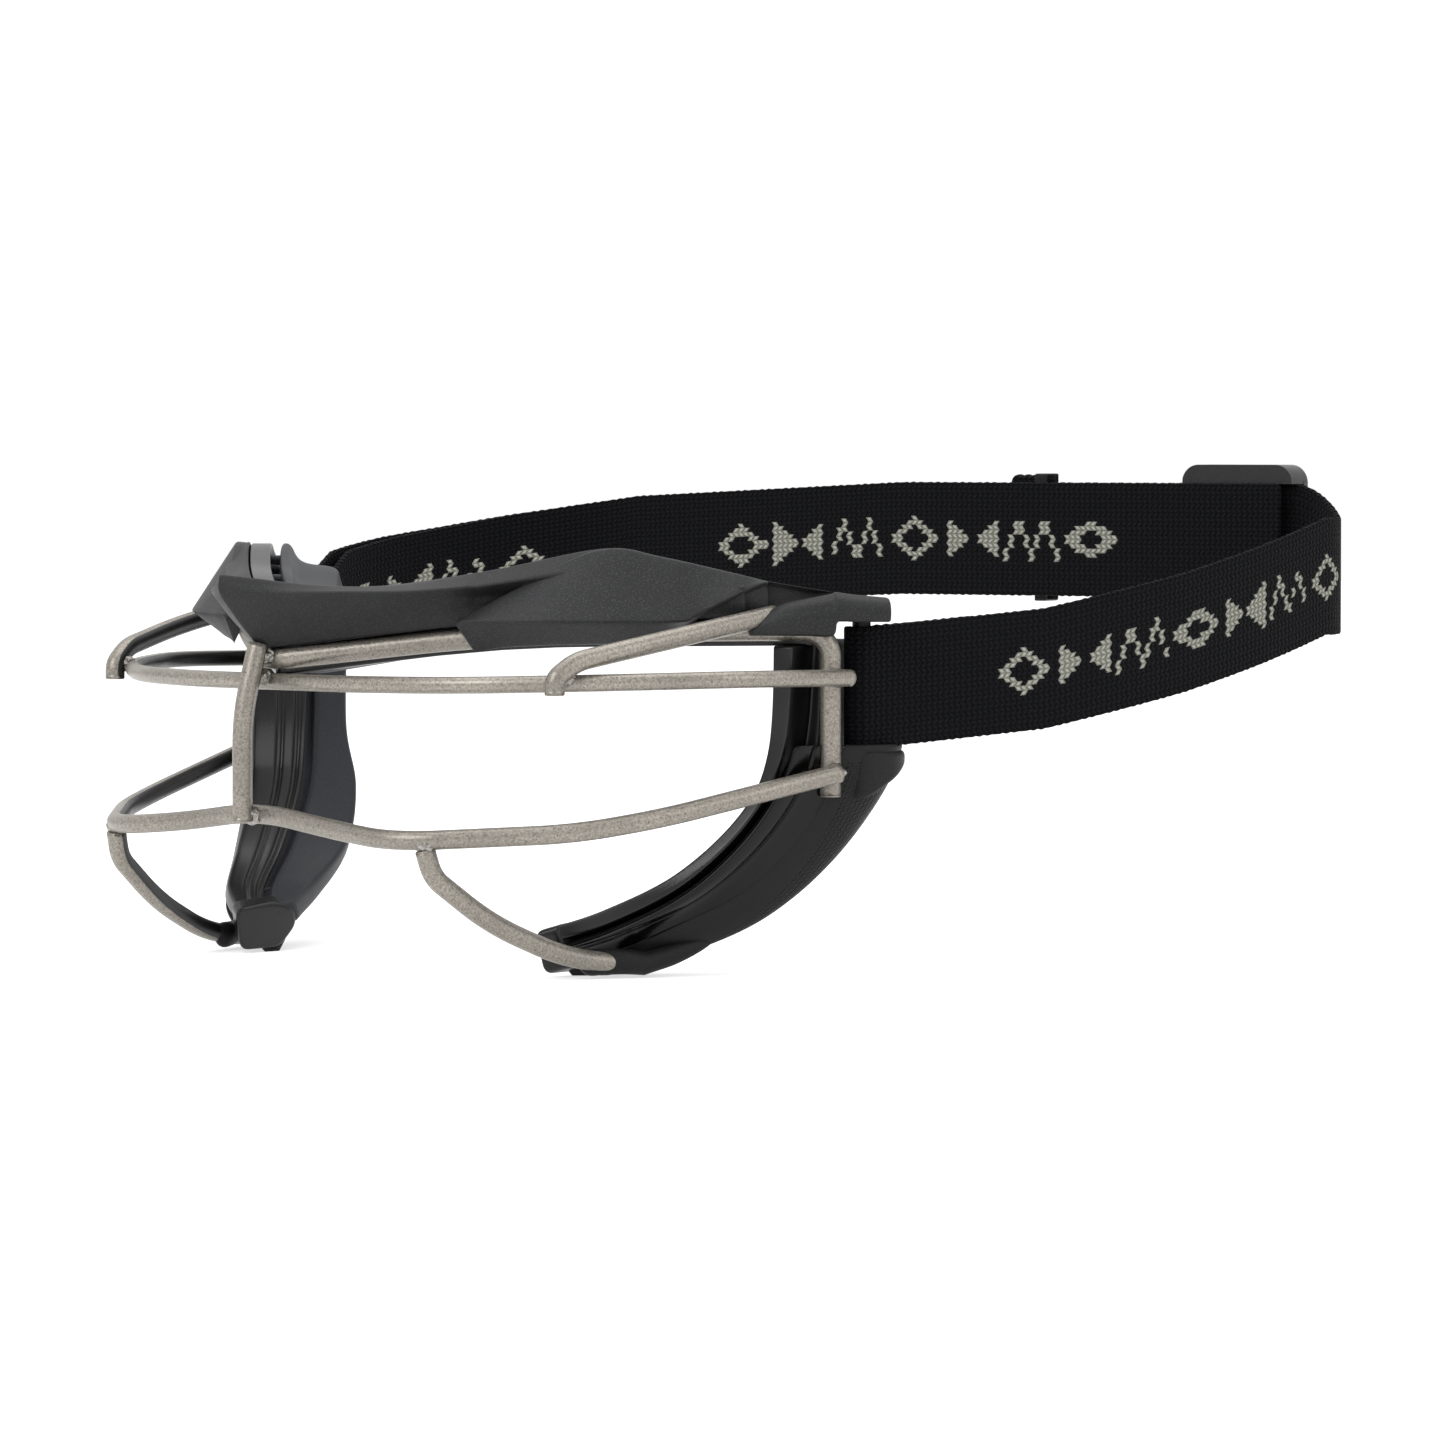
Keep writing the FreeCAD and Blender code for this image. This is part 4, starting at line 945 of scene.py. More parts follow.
    def bead(self, name: str, first: np.ndarray, second: np.ndarray, size: float,
             seed: int) -> bpy.types.Object:
        """Weld bead between two wires: a lumpy closed lens.

        A point of the bead is its middle plus the radius times the direction, where the
        radius is stretched along the seam and changed by a few waves over the surface.

        Args:
            name: the bead's name.
            first: middle of the first wire at the weld.
            second: middle of the second wire at the weld.
            size: half length of the bead.
            seed: number that sets the bead's waves.

        Returns:
            The bead.
        """
        across = unit(second - first)
        seam = unit(np.cross(across, (0.0, 0.0, 1.0) if abs(across[2]) < 0.8 else (0.0, 1.0, 0.0)))
        third = np.cross(across, seam)
        polar = np.linspace(0.12, math.pi - 0.12, 26)[:, None]
        turn = np.linspace(0, 2 * math.pi, 40, endpoint=False)[None, :]
        phase = np.random.default_rng(seed).uniform(0, 6.28, 5)
        wave = 1 + 0.07 * np.sin(3 * turn + phase[0] + 2 * polar)
        wave = wave + 0.05 * np.sin(5 * turn + phase[1]) * np.sin(4 * polar + phase[2])
        wave = wave + 0.04 * np.sin(9 * polar + phase[3]) * np.cos(2 * turn + phase[4])
        around = np.sin(polar) * np.cos(turn), np.sin(polar) * np.sin(turn)
        ball = np.stack([*around, np.cos(polar) + 0 * turn], axis=-1)
        axes = np.stack([across * size * 0.78, third * size * 0.82, seam * size])
        rings = (first + second) / 2 + (ball * wave[..., None]) @ axes
        return grid_piece(name, rings + self.layout.home)

    def welds(self) -> dict:
        """Pairs of wire middles at each weld, with the size of its bead."""
        lines = {name: wire.middle_line() for name, wire in self.wires.items()}
        pairs = {
            "rail": ("nose_bar", "main_rail", 0.0024), "upper": ("nose_bar", "upper_bar", 0.0022),
            "lower": ("nose_bar", "lower_bar", 0.0024), "strut": ("upper_strut_left", "upper_bar", 0.0023),
            "leg": ("lower_strut_left", "lower_bar", 0.0023), "end": ("upper_bar", "main_rail", 0.0023),
            "foot": ("lower_bar", "main_rail", 0.0024),
        }
        welds = {}
        for key, (one, two, size) in pairs.items():
            side = lines[one][lines[one][:, 0] >= -1e-6]
            other = lines[two][lines[two][:, 0] >= -1e-6]
            if key in ("end", "foot"):
                side = side[side[:, 1] > self.layout.temple_depth * 0.9]
            apart = np.linalg.norm(side[:, None] - other[None], axis=-1)
            i, j = np.unravel_index(apart.argmin(), apart.shape)
            welds[key] = (side[i], other[j], size)
        return welds

    def make(self, metal: bpy.types.Material, weld: bpy.types.Material) -> list:
        """Build the wires and the beads.

        Args:
            metal: finish of the wires.
            weld: finish of the beads.

        Returns:
            The new pieces.
        """
        pieces = []
        for name, wire in self.wires.items():
            piece = dress(grid_piece(f"{name}_look", wire.rings() + self.layout.home), metal, name)
            pieces.append(piece)
            if name.endswith("_left"):
                # A strut's twin is a mirrored copy of the dressed piece, dressed again for the right node.
                pieces.append(dress(mirrored_piece(piece), metal, right_name(name)))
        for seed, (key, (first, second, size)) in enumerate(self.welds().items()):
            bead = self.bead(f"weld_{key}", first, second, size, seed)
            pieces += dress_both(bead, weld) if first[0] > size else [dress(bead, weld)]
        return pieces


def dress(piece: bpy.types.Object, material: bpy.types.Material, *nodes: str, body: str = BODY,
          stretch: Optional[tuple] = None) -> bpy.types.Object:
    """Give a piece its finish, the CAD nodes it stands for and what it moves with.

    Args:
        piece: the piece.
        material: its finish.
        nodes: CAD nodes that it replaces.
        body: body it rides on.
        stretch: two points; where they are given, the piece's transform is baked and it rides on no body.

    Returns:
        The same piece.
    """
    piece.data.materials.clear()
    piece.data.materials.append(material)
    if nodes:
        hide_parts(*nodes)
    if stretch is None:
        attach(piece, body)
    else:
        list(stretch)
        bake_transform(piece)
    LOG.info("%s: %d faces", piece.name, len(piece.data.polygons))
    return piece


def dress_both(piece: bpy.types.Object, material: bpy.types.Material, *nodes: str, fill: float = 0.0) -> list:
    """Dress a piece and its mirror image on the wearer's right.

    Args:
        piece: the piece.
        material: their finish.
        nodes: CAD nodes on the left that the piece replaces.
        fill: not used.

    Returns:
        Both pieces.
    """
    twin = mirrored_piece(piece)
    pair = [dress(piece, material, *nodes), dress(twin, material, *(right_name(node) for node in nodes))]
    return pair


@dataclass
class Brow:
    """Moulded brow over the rail, with its raised side panels and temple caps."""

    layout: Layout
    depth: float = 0.0025
    height: float = 0.0085
    crest: float = 0.0091
    overhang: float = 0.0045
    lip: float = 0.002
    wall: float = 0.003
    crease: float = 0.72
    peak_rise: float = 0.0032
    wing_ridge: float = 0.012
    wing_lip: float = 0.005
    wing_drop: float = 0.0024
    wing_taper: tuple = (0.83, 0.055, 0.7)
    shell_end: float = 0.845
    cap_depth: float = 0.010
    cap_reach: float = 0.0054
    ridge_height: float = 0.0131
    crest_rows: tuple = ((0.0, 0.1), (0.2, 0.14), (0.4, 0.5), (0.6, 1.0), (0.7, 0.82), (0.84, 0.41))
    visor_rows: tuple = (
        (0.0, 0.0087, 0.0036, 0.97, 0.0030), (0.05, 0.0080, 0.0028, 0.85, 0.0022),
        (0.1, 0.0068, 0.0024, 0.66, 0.0012), (0.16, 0.0056, 0.0022, 0.5, 0.0006),
        (0.21, 0.0046, 0.0018, 0.38, 0.0003), (0.26, 0.0036, 0.0012, 0.3, 0.0),
        (0.31, 0.0024, 0.0007, 0.22, 0.0), (0.37, 0.0010, 0.0003, 0.16, 0.0),
        (0.43, 0.0, 0.0, 0.12, 0.0), (0.9, 0.0, 0.0, 0.12, 0.0),
    )
    wing_rows: tuple = (
        (0.352, 0.4, 0.1, 0.0), (0.39, 0.55, 0.4, 0.0), (0.43, 0.66, 0.66, 0.0), (0.47, 0.78, 0.88, 0.0),
        (0.51, 0.88, 1.1, 0.0), (0.58, 0.98, 1.33, 0.0), (0.65, 1.0, 1.38, 0.0), (0.71, 0.9, 1.38, 0.06),
        (0.77, 0.7, 1.38, 0.33), (0.83, 0.5, 1.38, 0.62), (0.885, 0.32, 1.38, 0.92),
    )
    cap_rows: tuple = (
        (0.862, 0.94, 0.0122, 0.0100), (0.885, 0.89, 0.0148, 0.0100), (0.915, 0.82, 0.0166, 0.0100),
        (0.95, 0.74, 0.0176, 0.0100), (1.0, 0.63, 0.0186, 0.0100), (1.01, 0.6, 0.0189, 0.0128),
        (1.04, 0.55, 0.0184, 0.0128), (1.095, 0.48, 0.0178, 0.0128),
    )
    scoop_place: float = 0.415
    scoop_reach: float = 0.075
    scoop_depth: float = 0.0034

    def floor(self, share: np.ndarray) -> np.ndarray:
        """Height of the shell's lower edge."""
        return self.layout.rail_height(share) + self.layout.rail_diameter / 2 + self.layout.seat_gap

    def top(self, share: np.ndarray) -> np.ndarray:
        """Height of the shell's top edge."""
        place, crest = cubic_rows(np.array(self.crest_rows), 8).T
        base = np.maximum(self.floor(0.0) + self.height + self.peak_rise, self.floor(share) + self.wall)
        return base + self.crest * np.interp(np.abs(share), place, crest)

    def rings(self, share: np.ndarray, outline: Sequence, radius: float, arc: int, flat: int) -> np.ndarray:
        """Rounded rings of an outline of (out, height) arrays at shares along the brow."""
        corners = np.stack([self.layout.brow(share, out, height) for out, height in outline], axis=1)
        return rounded_rings(corners, radius, arc, flat)

    def shell(self) -> bpy.types.Object:
        """Shell: front face over the rail, crease, a hollow beside the beak, and the top.

        The hollow presses the front face in by the scoop's depth times a bell curve of the
        share's distance from the scoop's place.

        Returns:
            The shell.
        """
        share = np.linspace(-self.shell_end, self.shell_end, 321)
        floor, top = self.floor(share), self.top(share)
        rows = cubic_rows(np.array(self.visor_rows), 10)
        reach, lift, back, ridge = between(np.abs(share), rows[:, 0], rows[:, 1:]).T
        bell = np.exp(-(((np.abs(share) - self.scoop_place) / self.scoop_reach) ** 2))
        crease = floor + self.crease * (top - floor) + lift
        front = self.overhang + reach
        outline = (
            (self.lip, floor),
            (self.lip + (front - self.lip) * 0.48 - bell * self.scoop_depth, floor + (crease - floor) * 0.42),
            (front - 0.0008 - bell * self.scoop_depth, floor + (crease - floor) * (0.86 - 0.1 * bell)),
            (front, crease),
            (front * back, np.maximum(top + ridge - 0.0005 * (1 - back), crease + 0.0006)),
            (-0.0001, top),
            (-0.0007, top),
            (-self.depth, floor),
        )
        return grid_piece("brow_shell_look", rounded_ends(self.rings(share, outline, 0.0009, 6, 5), 0.0006))

    def wing(self) -> bpy.types.Object:
        """Raised side panel: a lower facet, a sharp ridge and a lighter upper facet."""
        rows = cubic_rows(np.array(self.wing_rows), 14)
        share, ridge, rise, climb = rows.T
        floor = self.floor(share)
        end = self.crest_rows[-1][0]
        crest = self.top(np.minimum(share, end)) - np.clip(share - end, 0, None) * 0.03
        face_top = floor + (crest - floor) * self.crease * rise + 0.0003
        top = np.minimum(face_top, crest + 0.0004)
        bottom = self.layout.rail_height(share) - self.wing_drop
        bottom = bottom + (top - bottom) * np.clip(climb, 0, 1)
        taper_start, taper_length, taper = self.wing_taper
        slim = 1.0 - taper * np.clip((share - taper_start) / taper_length, 0, 1)
        behind = (self.layout.rail_diameter / 2 + self.layout.seat_gap) * slim
        over = np.clip((top - floor) / (crest - floor), 0, 1)
        face = (self.lip + (self.overhang - self.lip) * np.clip(over / self.crease, 0, 1)) * slim
        front = np.maximum(self.wing_ridge * ridge * slim, face + 0.0008)
        level = np.clip(np.maximum(self.ridge_height, bottom + 0.0007), None, top - 0.0003)
        slant = 0.032 * np.clip((0.45 - share) / 0.1, 0, 1)
        outline = (
            (behind, bottom, slant),
            (np.maximum(behind, self.wing_lip * ridge * slim), bottom - 0.0003, slant),
            (front, level, 0.0),
            (face * (1.0 - 0.5 * over), top, 0.0),
            (-0.0006 * over, top - 0.0003, 0.0),
            (0.0, floor + 0.0003, 0.0),
        )
        brow = self.layout.brow
        corners = np.stack([brow(share + shift, out, height) for out, height, shift in outline], axis=1)
        rings = rounded_rings(corners, 0.0006, 5, 6)
        return grid_piece("wing_panel_left_look", rounded_ends(rings, 0.0006))

    def cap(self) -> bpy.types.Object:
        """End cap: a hooked block over the rail and the post, with a recess behind its upper edge."""
        rows = cubic_rows(np.array(self.cap_rows), 12)
        share, tall, front_top, low = rows.T
        cap_floor = self.layout.cap_floor
        rim = cap_floor + (self.top(self.crest_rows[-1][0]) - cap_floor) * tall
        front_top = np.minimum(front_top, rim)
        low = np.clip(low, 0.0098, 0.0129)
        deep = np.clip((rim - front_top) / 0.0015, 0, 1)
        inner = self.layout.rail_diameter / 2 + self.layout.seat_gap
        back_floor = cap_floor - 0.0008 * np.clip((share - 1.0) / 0.03, 0, 1)
        outline = (
            (inner, low),
            (self.cap_reach - 0.0005, low),
            (self.cap_reach, low + (front_top - low) * 0.5),
            (self.cap_reach - 0.0012, low + (front_top - low) * 0.82),
            (0.0022, front_top),
            (0.0016 - 0.0030 * deep, front_top - 0.0004 * deep),
            (0.0012 - 0.0026 * deep, rim - 0.0009 * deep),
            (0.0008, rim - 0.0002),
            (-self.cap_depth, rim - 0.0004),
            (-self.cap_depth, back_floor),
            (inner, back_floor),
        )
        rings = self.rings(share, outline, 0.0008, 6, 4)
        return grid_piece("temple_cap_left_look", rounded_ends(rings, 0.0008, 6))

    def make(self, shell_skin: bpy.types.Material, wing_skin: bpy.types.Material) -> list:
        """Build the brow's pieces.

        Args:
            shell_skin: finish of the shell and the caps.
            wing_skin: finish of the raised panels.

        Returns:
            The new pieces.
        """
        pieces = [dress(self.shell(), shell_skin, "brow_shell")]
        pieces += dress_both(self.wing(), wing_skin, "wing_panel_left")
        return pieces + dress_both(self.cap(), shell_skin, "temple_cap_left")


def joined(name: str, parts: list) -> bpy.types.Object:
    """Several pieces as one object."""
    bpy.ops.object.select_all(action="DESELECT")
    for part in parts:
        part.select_set(True)
    bpy.context.view_layer.objects.active = parts[0]
    bpy.ops.object.join()
    parts[0].name = parts[0].data.name = name
    parts[0].select_set(False)
    return parts[0]


def add_shares(mesh: bpy.types.Mesh, stations: int, points: int) -> None:
    """Second UV map of a ring mesh: share along the stations and share round the ring."""
    along = np.concatenate([np.repeat(np.linspace(0, 1, stations), points), [0.0, 1.0]])
    around = np.concatenate([np.tile(np.linspace(0, 1, points, endpoint=False), stations), [0.5, 0.5]])
    write_map(mesh, "share", along, around)


@dataclass
class BrowLining:
    """Gloss frame behind the brow, its cushion and the pegs between them."""

    brow: Brow
    floor_drop: float = 0.0033
    slot: float = 0.002
    pad_depth: float = 0.0125
    front: float = -0.0010
    back: float = -0.0055
    groove: float = 0.0006
    crown: float = 0.0016
    step: float = 0.0044
    frame_end: float = 0.97
    pad_end: float = 0.83
    peg: float = 0.0021
    peg_sink: float = 0.0008
    peg_end: float = 0.78
    pegs: int = 9
    fill: float = 0.9

    def frame(self) -> bpy.types.Object:
        """Frame with a floor behind the rail and two channels along its back."""
        brow, gap = self.brow, self.brow.layout.seat_gap
        share = np.linspace(-self.frame_end, self.frame_end, 261)
        low = brow.layout.rail_height(share) - self.floor_drop
        floor = brow.floor(share) - gap
        under_cap = np.abs(share) > brow.crest_rows[-1][0]
        top = np.where(under_cap, brow.layout.cap_floor, brow.top(share) - gap)
        front, back = -brow.layout.rail_diameter / 2 - gap, self.back
        middle, groove = (low + top) / 2, self.groove
        outline = (
            (front, low), (front, floor), (-brow.depth - gap, floor),
            (self.front - 0.35 * (top - floor) * under_cap, top), (back, top),
            (back, middle + 0.0022), (back + groove, middle + 0.0016), (back + groove, middle - 0.0002),
            (back, middle - 0.0008), (back, low),
        )
        return grid_piece("brow_frame_look", rounded_ends(brow.rings(share, outline, 0.0005, 4, 3), 0.0005))

    def pad(self) -> bpy.types.Object:
        """Cushion with a crown towards the forehead and a shallow channel along its middle."""
        brow = self.brow
        share = np.linspace(-self.pad_end, self.pad_end, 221)
        front = self.back - self.slot
        back = front - self.pad_depth
        low = brow.layout.rail_height(share) - self.floor_drop + brow.layout.seat_gap
        top = brow.top(share) - brow.layout.seat_gap
        middle, crown, step = (low + top) / 2, self.crown, self.step
        outline = (
            (front, low + crown), (front, top), (front - 0.0019, top), (front - 0.0034, top - step * 0.75),
            (front - 0.0055, top - step), (back + crown, top - step - 0.0006), (back, top - step - crown),
            (back, middle - 0.001), (back + crown * 0.6, low + crown), (back + crown * 2, low),
            (front - crown * 2, low),
        )
        return grid_piece("brow_pad_look", rounded_ends(brow.rings(share, outline, 0.0016, 6, 4), 0.0022, 6))

    def peg_row(self) -> bpy.types.Object:
        """Short pegs that carry the cushion off its frame."""
        brow = self.brow
        share = np.linspace(-self.peg_end, self.peg_end, self.pegs)
        height = brow.floor(share) * 0.25 + brow.top(share) * 0.75
        reach = (self.back + self.peg_sink, self.back - self.slot - self.peg_sink * 2.5)
        ends = np.stack([brow.layout.brow(share, out, height) for out in reach], axis=1)
        pegs = [grid_piece("peg", Wire(pair, self.peg).rings(16)) for pair in ends]
        return joined("brow_pad_posts_look", pegs)

    def make(self, gloss: bpy.types.Material, cushion: bpy.types.Material) -> list:
        """Build the pieces.

        Args:
            gloss: finish of the frame and the pegs.
            cushion: finish of the pad.

        Returns:
            The new pieces.
        """
        pad = dress(self.pad(), cushion, "brow_pad")
        frame = dress(self.frame(), gloss, "brow_frame")
        return [frame, pad, dress(self.peg_row(), cushion, "brow_pad_posts")]


@dataclass
class Cheek:
    """One cheek: gloss frame, cushion on pegs, rubber shell and the lug for the strap post."""

    layout: Layout
    top_half_width: float = 0.083
    tip_half_width: float = 0.0485
    top_depth: float = 0.067
    tip_depth: float = 0.033
    top_height: float = 0.0073
    drop: float = 0.0578
    width: float = 0.0195
    depth: float = 0.025
    wall: float = 0.003
    shell_wall: float = 0.0024
    shell_radius: float = 0.0045
    slot: float = 0.002
    crown: float = 0.0015
    lug_top: float = -0.014
    lug_height: float = 0.008
    peg: float = 0.0021
    boot_start: float = 0.74
    boot_end: tuple = (0.0073, 0.0141, 0.0050)
    boot_squeeze: float = 0.78
    boot_rows: tuple = (
        (0.0, 0.0012, 0.0010, 0.0), (0.08, 0.0027, 0.0010, 0.0004), (0.2, 0.0027, 0.0004, 0.0),
        (0.34, 0.0026, -0.0011, -0.0004), (0.5, 0.0024, -0.0010, -0.0003), (0.7, 0.0023, -0.0003, 0.0),
        (0.88, 0.0016, 0.0003, 0.0), (1.0, 0.0005, 0.0008, 0.0),
    )
    rows: tuple = (
        (1.0, 1.0, 0.0, 0.0, 107.5, 1.0, 0.49, 1.0, 0.92, 0.92),
        (0.962, 0.962, 0.36, 0.0, 107.5, 1.0, 0.61, 1.0, 0.9, 0.92),
        (0.835, 0.835, 0.585, 8.0, 107.5, 0.97, 0.7, 0.96, 0.84, 1.03),
        (0.609, 0.53, 0.794, 38.0, 103.0, 0.8, 0.58, 0.9, 0.66, 1.11),
        (0.319, 0.19, 0.927, 66.0, 98.0, 0.64, 0.46, 0.78, 0.58, 0.97),
        (0.0, 0.0, 1.0, 86.0, 90.0, 0.6, 0.4, 0.56, 0.55, 0.69),
    )
    lug_rim: tuple = (
        (0.5, 0.6), (0.5, 0.78), (0.58, 0.9), (0.8, 1.015), (1.05, 0.94), (1.06, 0.62), (0.56, 0.55),
    )
    lug_edge: float = 0.0012
    lug_root: float = 0.0025
    lug_rise: float = 0.0078
    tip_rim: tuple = (
        (-0.0010, 0.0), (0.0100, -0.0012), (0.0158, 0.0004), (0.0166, 0.0040), (0.0120, 0.0088),
        (0.0010, 0.0090),
    )
    tip_layers: tuple = (-0.0030, 0.0006)
    lip: float = 0.0014
    groove: float = 0.0005
    fill: float = 0.9

    def stations(self, count: int, first: int = 0) -> dict:
        """Local frames of the sections from a given row to the tip.

        Args:
            count: sections from one row to the next.
            first: row to start at.

        Returns:
            Arrays by name: origin, along and across vectors, and the section's sizes.
        """
        table = cubic_rows(np.array(self.rows), count)[first * count:]
        wide, deep, down, roll, heading, shell, frame, depth, back, pad = table.T
        origin = np.stack([
            self.tip_half_width + (self.top_half_width - self.tip_half_width) * wide,
            self.tip_depth + (self.top_depth - self.tip_depth) * deep,
            self.top_height - self.drop * down,
        ], axis=-1) + self.layout.home
        turn, tilt = np.radians(heading), np.radians(roll)
        along = np.stack([np.cos(turn), np.sin(turn), 0 * turn], axis=-1)
        level = np.stack([np.sin(turn), -np.cos(turn), 0 * turn], axis=-1)
        across = level * np.cos(tilt)[:, None] - np.array([0, 0, 1]) * np.sin(tilt)[:, None]
        return {
            "origin": origin, "along": along, "across": across, "shell": self.width * shell,
            "frame": self.width * frame, "depth": self.depth * depth,
            "back": self.width * shell * back, "pad": self.depth * pad,
        }

    def rings(self, at: dict, outline: Sequence, radius: float, arc: int, flat: int) -> np.ndarray:
        """Rounded rings of (depth, width) arrays in the sections' local frames."""
        zero = 0 * at["depth"]
        corners = np.stack([
            at["origin"] + at["along"] * (deep + zero)[:, None] + at["across"] * (wide + zero)[:, None]
            for deep, wide in outline
        ], axis=1)
        return rounded_rings(corners, radius, arc, flat)

    def frame(self) -> bpy.types.Object:
        """Wall round the opening with two channels, and a flange behind the cushion."""
        at = self.stations(22)
        flange, wide, wall = at["depth"] / 2, at["frame"] * 0.5, self.wall
        inner = -self.lip * np.clip(1 - np.arange(len(flange)) / 36, 0, 1)
        groove = inner + self.groove
        outline = (
            (0.0, inner), (flange * 0.42, inner), (flange * 0.46, groove), (flange * 0.54, groove),
            (flange * 0.58, inner), (flange * 0.76, inner), (flange * 0.8, groove), (flange * 0.86, groove),
            (flange * 0.9, inner), (flange, inner), (flange, wide), (flange - wall, wide),
            (flange - wall, wall), (0.0, wall),
        )
        return grid_piece("cheek_frame_left_look", rounded_ends(self.rings(at, outline, 0.0005, 4, 2), 0.0006))

    def pad(self) -> bpy.types.Object:
        """Cushion with drawn-in sides and a crown towards the face."""
        at = self.stations(22)
        front, back = at["depth"] / 2 + self.slot, at["pad"]
        wide, crown = at["frame"] * 0.7, self.crown
        tongue = self.slot + crown
        outline = (
            (front, -crown * 0.4), (front, crown), (front - tongue, crown * 1.3), (front - tongue, crown * 2),
            (front, crown * 2.2), (front + 2 * crown, wide - crown), (back - crown, wide - crown),
            (back + crown * 0.6, wide / 2), (back - crown * 0.5, -crown * 0.6),
        )
        return grid_piece("cheek_pad_left_look", rounded_ends(self.rings(at, outline, 0.0016, 6, 5), 0.0016, 6))

    def peg_row(self) -> bpy.types.Object:
        """Pegs between the frame and the cushion."""
        at = self.stations(1)
        pegs = []
        for index in range(len(at["depth"])):
            start = at["origin"][index] + at["across"][index] * at["frame"][index] / 4
            reach = at["depth"][index] / 2 + np.array([-self.wall / 2, self.slot + self.crown])
            line = start + at["along"][index] * reach[:, None]
            pegs.append(grid_piece("peg", Wire(line, self.peg).rings(16)))
        return joined("cheek_pad_posts_left_look", pegs)

    def shell(self) -> bpy.types.Object:
        """Outer shell, rounded over its outside, with a step round the dotted back panel."""
        at = self.stations(34, 1)
        wide, deep, wall = at["shell"], at["depth"], self.shell_wall
        edge = self.wall + self.layout.seat_gap
        outer = [(0.0, edge + wall), (deep * 0.3, wide * 0.46), (deep * 0.55, wide * 0.84), (deep * 0.8, wide)]
        back = (deep * 1.04, at["back"])
        inner = [(wall, edge)] + [(x + wall / 2, y - wall) for x, y in outer[1:]] + [(back[0], back[1] - wall)]
        radius = np.linspace(self.shell_radius, self.shell_radius / 2, len(wide))[:, None, None]
        ends = rounded_ends(self.rings(at, outer + [back] + inner[::-1], radius, 9, 5), 0.0009, 5)
        piece = grid_piece("cheek_shell_left_look", ends)
        add_shares(piece.data, *ends.shape[:2])
        return piece

    def lug(self) -> bpy.types.Object:
        """Rounded lug that holds the strap post's foot."""
        at = self.stations(4, 1)
        top = {key: value[:1] for key, value in at.items()}
        outline = [(top["depth"] * deep, top["shell"] * wide) for deep, wide in self.lug_rim]
        ring = self.rings(top, outline, 0.003, 8, 4)[0]
        edge = self.lug_edge
        back = (ring - ring.min(0))[:, 1] / np.ptp(ring[:, 1])
        reach = self.lug_height + self.lug_root - 2 * edge - self.lug_rise * back
        layer = np.linspace(1, 0, 6)[:, None]
        rings = np.repeat(ring[None], 6, axis=0)
        rings[:, :, 2] = self.layout.home[2] + self.lug_top - edge - layer * reach
        return grid_piece("cheek_lug_left", rounded_ends(rings, edge, 6))

    def tip(self) -> bpy.types.Object:
        """Rounded plate that closes the frame, the cushion and the shell at the cheek's tip."""
        at = self.stations(4)
        last = {key: value[-1:] for key, value in at.items()}
        ring = self.rings(last, self.tip_rim, 0.0022, 8, 4)[0]
        ahead = unit(at["origin"][-1] - at["origin"][-2])
        layer = np.linspace(*self.tip_layers, 6)[:, None, None]
        return grid_piece("cheek_tip_left", rounded_ends(ring[None] + ahead * layer, 0.0009, 6))

    def boot(self, strut: Wire) -> bpy.types.Object:
        """Rubber boot that the end of the lower strut sinks into.

        Args:
            strut: the strut.

        Returns:
            The boot: ellipses along the strut's last stretch and on to the shell's underside.
        """
        line = strut.middle_line()
        ahead = unit(line[-1] - line[-6])
        beyond = line[-1] + np.array(self.boot_end) * np.linspace(0.05, 1, 24)[:, None]
        line = np.concatenate([line[int(len(line) * self.boot_start):], beyond])
        length = run_lengths(line)
        rows = cubic_rows(np.array(self.boot_rows), 6)
        radius, inset, drop = between(length / length[-1], rows[:, 0], rows[:, 1:]).T
        across = unit(np.cross(ahead, (0.0, 0.0, 1.0)))
        across = across * np.sign(across[0])
        up = np.cross(across, ahead)
        angle = np.linspace(0, 2 * math.pi, 36, endpoint=False)
        squeezed = across * self.boot_squeeze
        spokes = np.cos(angle)[None, :, None] * squeezed + np.sin(angle)[None, :, None] * up
        middle = line - across * inset[:, None] - np.array([0, 0, 1]) * drop[:, None]
        return grid_piece("strut_boot_left", middle[:, None] + spokes * radius[:, None, None] + self.layout.home)

    def make(self, gloss: bpy.types.Material, cushion: bpy.types.Material, rubber: bpy.types.Material,
             plain: bpy.types.Material, strut: Wire) -> list:
        """Build both cheeks.

        Args:
            gloss: finish of the frames.
            cushion: finish of the pads.
            rubber: finish of the shells.
            plain: finish of the lugs and boots.
            strut: the lower strut, which ends in the boot.

        Returns:
            The new pieces.
        """
        return [
            *dress_both(self.frame(), gloss, "cheek_frame_left"),
            *dress_both(self.pad(), cushion, "cheek_pad_left", fill=self.fill),
            *dress_both(self.peg_row(), cushion, "cheek_pad_posts_left"),
            *dress_both(self.shell(), rubber, "cheek_shell_left"),
            *dress_both(self.lug(), plain),
            *dress_both(self.tip(), gloss),
            *dress_both(self.boot(strut), plain),
        ]


